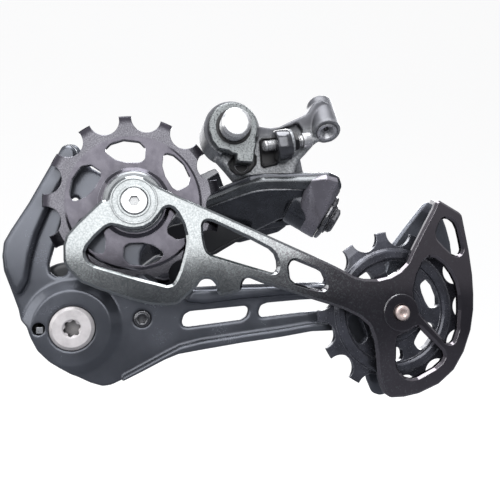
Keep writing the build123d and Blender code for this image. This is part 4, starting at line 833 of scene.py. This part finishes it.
def carve(obj, origin, axis, rods):
    """Cut round rods (start along the axis, radius, length) out of obj; bake its modifiers."""
    unit = axis.normalized()
    turn = Vector((0, 0, 1)).rotation_difference(unit).to_matrix().to_4x4()
    cutters = []
    for start, radius, length in rods:
        middle = origin + axis * start + unit * (length / 2)
        bm = bmesh.new()
        bmesh.ops.create_cone(bm, cap_ends=True, segments=72, radius1=radius * MM,
                              radius2=radius * MM, depth=length * MM,
                              matrix=Matrix.Translation(middle * MM) @ turn)
        mesh = bpy.data.meshes.new("cutter")
        bm.to_mesh(mesh)
        bm.free()
        cutter = bpy.data.objects.new("cutter", mesh)
        bpy.context.scene.collection.objects.link(cutter)
        room = obj.modifiers.new("room", "BOOLEAN")
        room.operation = "DIFFERENCE"
        room.solver = "EXACT"
        room.object = cutter
        cutters.append(cutter)
    depsgraph = bpy.context.evaluated_depsgraph_get()
    baked = bpy.data.meshes.new_from_object(obj.evaluated_get(depsgraph))
    baked.name = obj.name
    obj.modifiers.clear()
    obj.data = baked
    for cutter in cutters:
        mesh = cutter.data
        bpy.data.objects.remove(cutter)
        bpy.data.meshes.remove(mesh)


# Arcs round the clamp axis: station, radius, first and last angle in degrees, steps
GUSSET_ARCS = [(-0.25, 9.3, 60, 290, 36), (-5.0, 9.3, 75, 285, 26), (-8.6, 8.6, 120, 250, 14)]
# Points on the link: s, q, n
GUSSET_FEET = [
    (-8.2, -10.2, -8.6), (-4.6, -12.6, -8.6), (0.8, -13.2, -8.7), (4.2, -8.8, -8.5),
    (4.4, -5.0, -8.3), (-8.2, -10.2, -6.0), (-4.6, -12.6, -6.0), (1.2, -12.8, -6.0),
    (4.0, -4.0, -6.0), (-8.4, -4.0, -6.5),
]
# Room for the knuckle and its pin, along the pin's axis: start, radius, length
PIN_ROOM = [(-0.6, 6.3, 9.7), (-6.0, 3.4, 19.0)]


def clamp_arc(t, radius, first, last, steps):
    _, u, v = axis_frame(CLAMP_AXIS)
    points = []
    for k in range(steps + 1):
        a = math.radians(first + (last - first) * k / steps)
        points.append(CLAMP_CENTRE + CLAMP_AXIS * t + (u * math.cos(a) + v * math.sin(a)) * radius)
    return points


gusset_points = [point for arc in GUSSET_ARCS for point in clamp_arc(*arc)]
gusset_points += [link_point(*foot) for foot in GUSSET_FEET]
# Its purple-grey paint is a painted reflection on the gloss black boss.
gusset = soft_hull("inner_link_gusset", gusset_points, voxel=0.22, rounds=10,
                   body="inner_link", finish="link_boss_painted_reflection")
carve(gusset, LINK_ORIGIN, LINK_PIN, PIN_ROOM)

# ---- cable clamp: pressed washer with a wrinkled crown, rounded hex bolt -
WASHER_BORE = 3.0
WASHER_RINGS = [
    (0.10, WASHER_BORE), (0.10, 8.5), (0.30, crinkle(8.68, 0.06, 0.3)),
    (0.9, crinkle(8.70, 0.10, 0.9)), (1.35, crinkle(8.35, 0.14, 1.6)),
    (1.62, crinkle(7.75, 0.18, 2.4)), (1.78, crinkle(7.1, 0.20, 3.1)),
    (1.92, crinkle(6.5, 0.16, 3.9)), (1.96, 5.9), (1.96, WASHER_BORE),
]
lathe("cable_clamp_washer", CLAMP_CENTRE, CLAMP_AXIS, WASHER_RINGS, "inner_link",
      "crinkled_clamp_steel", segments=144, closed=True,
      replaces=("cable_clamp_plate",))


def rounded_hexagon(a):
    """Halfway between a hexagon and a circle."""
    return 0.5 * hexagon(8.2)(a) + 2.0


CLAMP_BOLT_RINGS = [
    (-4.3, 1.2), (-4.3, 2.3), (-4.1, 2.5), (1.99, 2.5), (1.99, 5.6),
    (2.15, crinkle(5.85, 0.06, 0.5)), (2.45, crinkle(5.7, 0.10, 1.4)), (2.75, hexagon(9.2)),
    (3.9, hexagon(9.0)), (4.35, rounded_hexagon), (4.62, 3.6), (4.68, 2.9), (4.66, 2.3),
    (4.5, hexagon(4.1)), (3.0, hexagon(4.0)), (2.95, 1.0),
]
lathe("cable_clamp_bolt_dressed", CLAMP_CENTRE, CLAMP_AXIS, CLAMP_BOLT_RINGS, "inner_link",
      "crinkled_clamp_steel", segments=120, replaces=("cable_clamp_bolt",),
      sharp=30.0)


# ---- knuckle arm: web and the rib along its lower edge ------------------
def slab(name, outline, y0, y1, voxel, rounds):
    """Flat plate on the knuckle from y0 to y1, its outline (X, Z) in mm, with soft edges."""
    bm = bmesh.new()
    front, back = ([bm.verts.new(Vector((x, y, z)) * MM) for x, z in outline] for y in (y0, y1))
    loft(bm, [front, back])
    bm.faces.new(front)
    bm.faces.new(list(reversed(back)))
    obj = piece(name, bm, "knuckle", "arm_shaded_paint", sharp=180.0)
    soften(obj, voxel, rounds)


ARM_WEB = [
    (-24.6, -36.3), (-20.2, -32.6), (-14.4, -31.0), (-6.9, -31.7), (1.4, -32.3), (8.4, -33.3),
    (10.7, -36.0), (4.5, -38.3), (-3.1, -42.9), (-8.0, -44.4), (-10.6, -48.1), (-13.6, -54.0),
    (-18.0, -56.9), (-22.3, -53.9),
]
ARM_RIB = [
    (-8.2, -44.4), (-3.3, -42.9), (4.3, -38.4), (10.4, -36.0), (10.0, -35.1), (3.5, -37.4),
    (-4.1, -41.8), (-8.5, -43.3),
]
# The web and rib wear the darker knuckle paint as painted shade behind the cage plates.
slab("knuckle_arm_web", ARM_WEB, y0=20.0, y1=21.9, voxel=0.3, rounds=8)
slab("knuckle_arm_rib", ARM_RIB, y0=18.9, y1=20.6, voxel=0.22, rounds=5)

# ---- cage stop screw: rounded button with a hex socket ------------------
STOP_SCREW_PLACE = (-30.1, 0.0, -64.3)
STOP_SCREW_RINGS = [
    (1.25, 0.5), (1.2, hexagon(2.45)), (0.0, hexagon(2.5)), (-0.2, hexagon(2.75)),
    (-0.30, 1.75), (-0.29, 1.95), (-0.16, 2.25), (-0.02, 2.34), (0.02, 2.6), (0.12, 2.65),
    (0.63, 2.65), (0.66, 2.0), (8.8, 1.98), (8.88, 1.8),
]
lathe("stopper_screw_dressed", STOP_SCREW_PLACE, Y_AXIS, STOP_SCREW_RINGS, "cage",
      "socket_screw_steel", replaces=("stopper_screw",), sharp=30.0)

# ---- rest lug on the bracket, under the stop plate's tab ----------------
dish("stop_lug", STOP_LUG, y_lip=6.4, y_back=7.0, rim=0.05,
     finish="lug_painted_face")


# ---- floor --------------------------------------------------------------
def floor_material():
    """Pale with a soft contact shadow to the camera, grey to the object's reflections."""
    material = bpy.data.materials.new("floor_pale")
    g = Graph(material, "ShaderNodeOutputMaterial")
    color = g.mix(g.noise(scale=6.0), first=(0.90, 0.90, 0.905), second=(0.94, 0.94, 0.945))
    pale = g.node("ShaderNodeBsdfDiffuse", {"Color": color, "Roughness": 0.6})
    glow = g.node("ShaderNodeEmission", {"Color": (1.0, 1.0, 1.0), "Strength": 1.12})
    glow_share = 0.80
    seen = g.node("ShaderNodeMixShader", {0: glow_share, 1: pale.outputs[0], 2: glow.outputs[0]})
    grey = g.node("ShaderNodeBsdfDiffuse", {"Color": (0.16, 0.165, 0.18), "Roughness": 0.6})
    ray = g.node("ShaderNodeLightPath")
    g.finish(g.node("ShaderNodeMixShader", {
        0: ray.outputs["Is Camera Ray"], 1: grey.outputs[0], 2: seen.outputs[0]}))
    return material


def floor():
    """Flat floor that curves up into a wall on the +Y side."""
    drop = 0.152          # keeps the floor below the cage at any pose
    half, columns = 3.0, 24
    bend, bend_steps = 0.9, 12        # the bend's radius, and where in Y it starts
    wall_top = 3.2
    z = CAD_BOX[0][2] - drop
    profile = [(-half, 0.0), (bend, 0.0)]     # Y, height
    for k in range(1, bend_steps + 1):
        a = math.pi / 2 * k / bend_steps
        profile.append((bend + bend * math.sin(a), bend - bend * math.cos(a)))
    profile.append((bend + bend, wall_top))
    bm = bmesh.new()
    rows = [[bm.verts.new((-half + 2 * half * i / columns, y, z + height))
             for i in range(columns + 1)] for y, height in profile]
    for a, b in zip(rows, rows[1:]):
        for i in range(columns):
            bm.faces.new((a[i], a[i + 1], b[i + 1], b[i]))
    mesh = bpy.data.meshes.new("floor")
    bm.to_mesh(mesh)
    bm.free()
    for polygon in mesh.polygons:
        polygon.use_smooth = True
    obj = bpy.data.objects.new("floor", mesh)
    bpy.context.scene.collection.objects.link(obj)
    obj.data.materials.append(floor_material())


floor()

# ---- lights -------------------------------------------------------------
MIDDLE = (0.0, 0.0, -0.045)


def area(name, place, width, height, power, target=MIDDLE, color=(1, 1, 1)):
    """Rectangular light at place, facing target."""
    data = bpy.data.lights.new(name, "AREA")
    data.shape = "RECTANGLE"
    data.size = width
    data.size_y = height
    data.energy = power
    data.color = color
    obj = bpy.data.objects.new(name, data)
    bpy.context.scene.collection.objects.link(obj)
    obj.location = place
    obj.rotation_mode = "QUATERNION"
    obj.rotation_quaternion = (Vector(target) - Vector(place)).to_track_quat("-Z", "Y")
    return obj


area("front_soft", (-0.29, -1.12, 0.495), width=1.35, height=1.06, power=9.8,
     target=(-0.29, 0.0, 0.495))
area("top_soft", (-0.05, -0.10, 0.62), width=0.60, height=0.50, power=4.6,
     color=(0.985, 0.99, 1.0))
area("left_soft", (-0.75, -0.20, 0.16), width=0.42, height=0.60, power=1.3,
     color=(1.0, 0.995, 0.985))
area("rim_back", (0.35, 0.55, 0.35), width=0.35, height=0.35, power=2.4,
     color=(0.97, 0.985, 1.0))
back_light = area("back_soft", (0.15, 0.85, 0.40), width=0.95, height=0.70, power=6.5,
                  color=(0.985, 0.99, 1.0))
back_light.visible_camera = False


# ---- world --------------------------------------------------------------
def studio_world():
    """White to the camera; to everything else, dark below and light above."""
    world = bpy.data.worlds.new("studio")
    bpy.context.scene.world = world
    g = Graph(world, "ShaderNodeOutputWorld")
    up = g.node("ShaderNodeSeparateXYZ", {0: g.coords["Generated"]}).outputs[2]
    height = g.node("ShaderNodeMapRange", {"Value": up, "From Min": -0.4, "From Max": 1.0})
    shades = g.node("ShaderNodeValToRGB", {"Fac": height.outputs["Result"]})
    low, high = shades.color_ramp.elements
    low.color = (0.085, 0.088, 0.10, 1)
    high.color = (0.75, 0.76, 0.80, 1)
    tent = g.node("ShaderNodeBackground", {"Color": shades.outputs["Color"], "Strength": 0.8})
    white = g.node("ShaderNodeBackground", {"Color": (1, 1, 1), "Strength": 1.0})
    ray = g.node("ShaderNodeLightPath")
    g.finish(g.node("ShaderNodeMixShader", {
        0: ray.outputs["Is Camera Ray"], 1: tent.outputs[0], 2: white.outputs[0]}))


studio_world()

# ---- camera -------------------------------------------------------------
CAMERA_PLACE = Vector((-0.029748, -0.172749, -0.045140))
CAMERA_FORWARD = Vector((0.2004941, 0.97950426, 0.0193265)).normalized()
CAMERA_RIGHT = Vector((0.97968724, -0.20053155, 0.0)).normalized()

camera = bpy.data.cameras.new("camera")
camera.sensor_width = 36.0
camera.lens = 37.44
camera.clip_start = 0.01
camera_object = bpy.data.objects.new("camera", camera)
bpy.context.scene.collection.objects.link(camera_object)
camera_up = CAMERA_RIGHT.cross(CAMERA_FORWARD).normalized()
camera_turn = Matrix((CAMERA_RIGHT, camera_up, -CAMERA_FORWARD)).transposed()
camera_object.matrix_world = Matrix.Translation(CAMERA_PLACE) @ camera_turn.to_4x4()
bpy.context.scene.camera = camera_object
bpy.context.scene.view_settings.view_transform = "Standard"
bpy.context.scene.view_settings.look = "None"
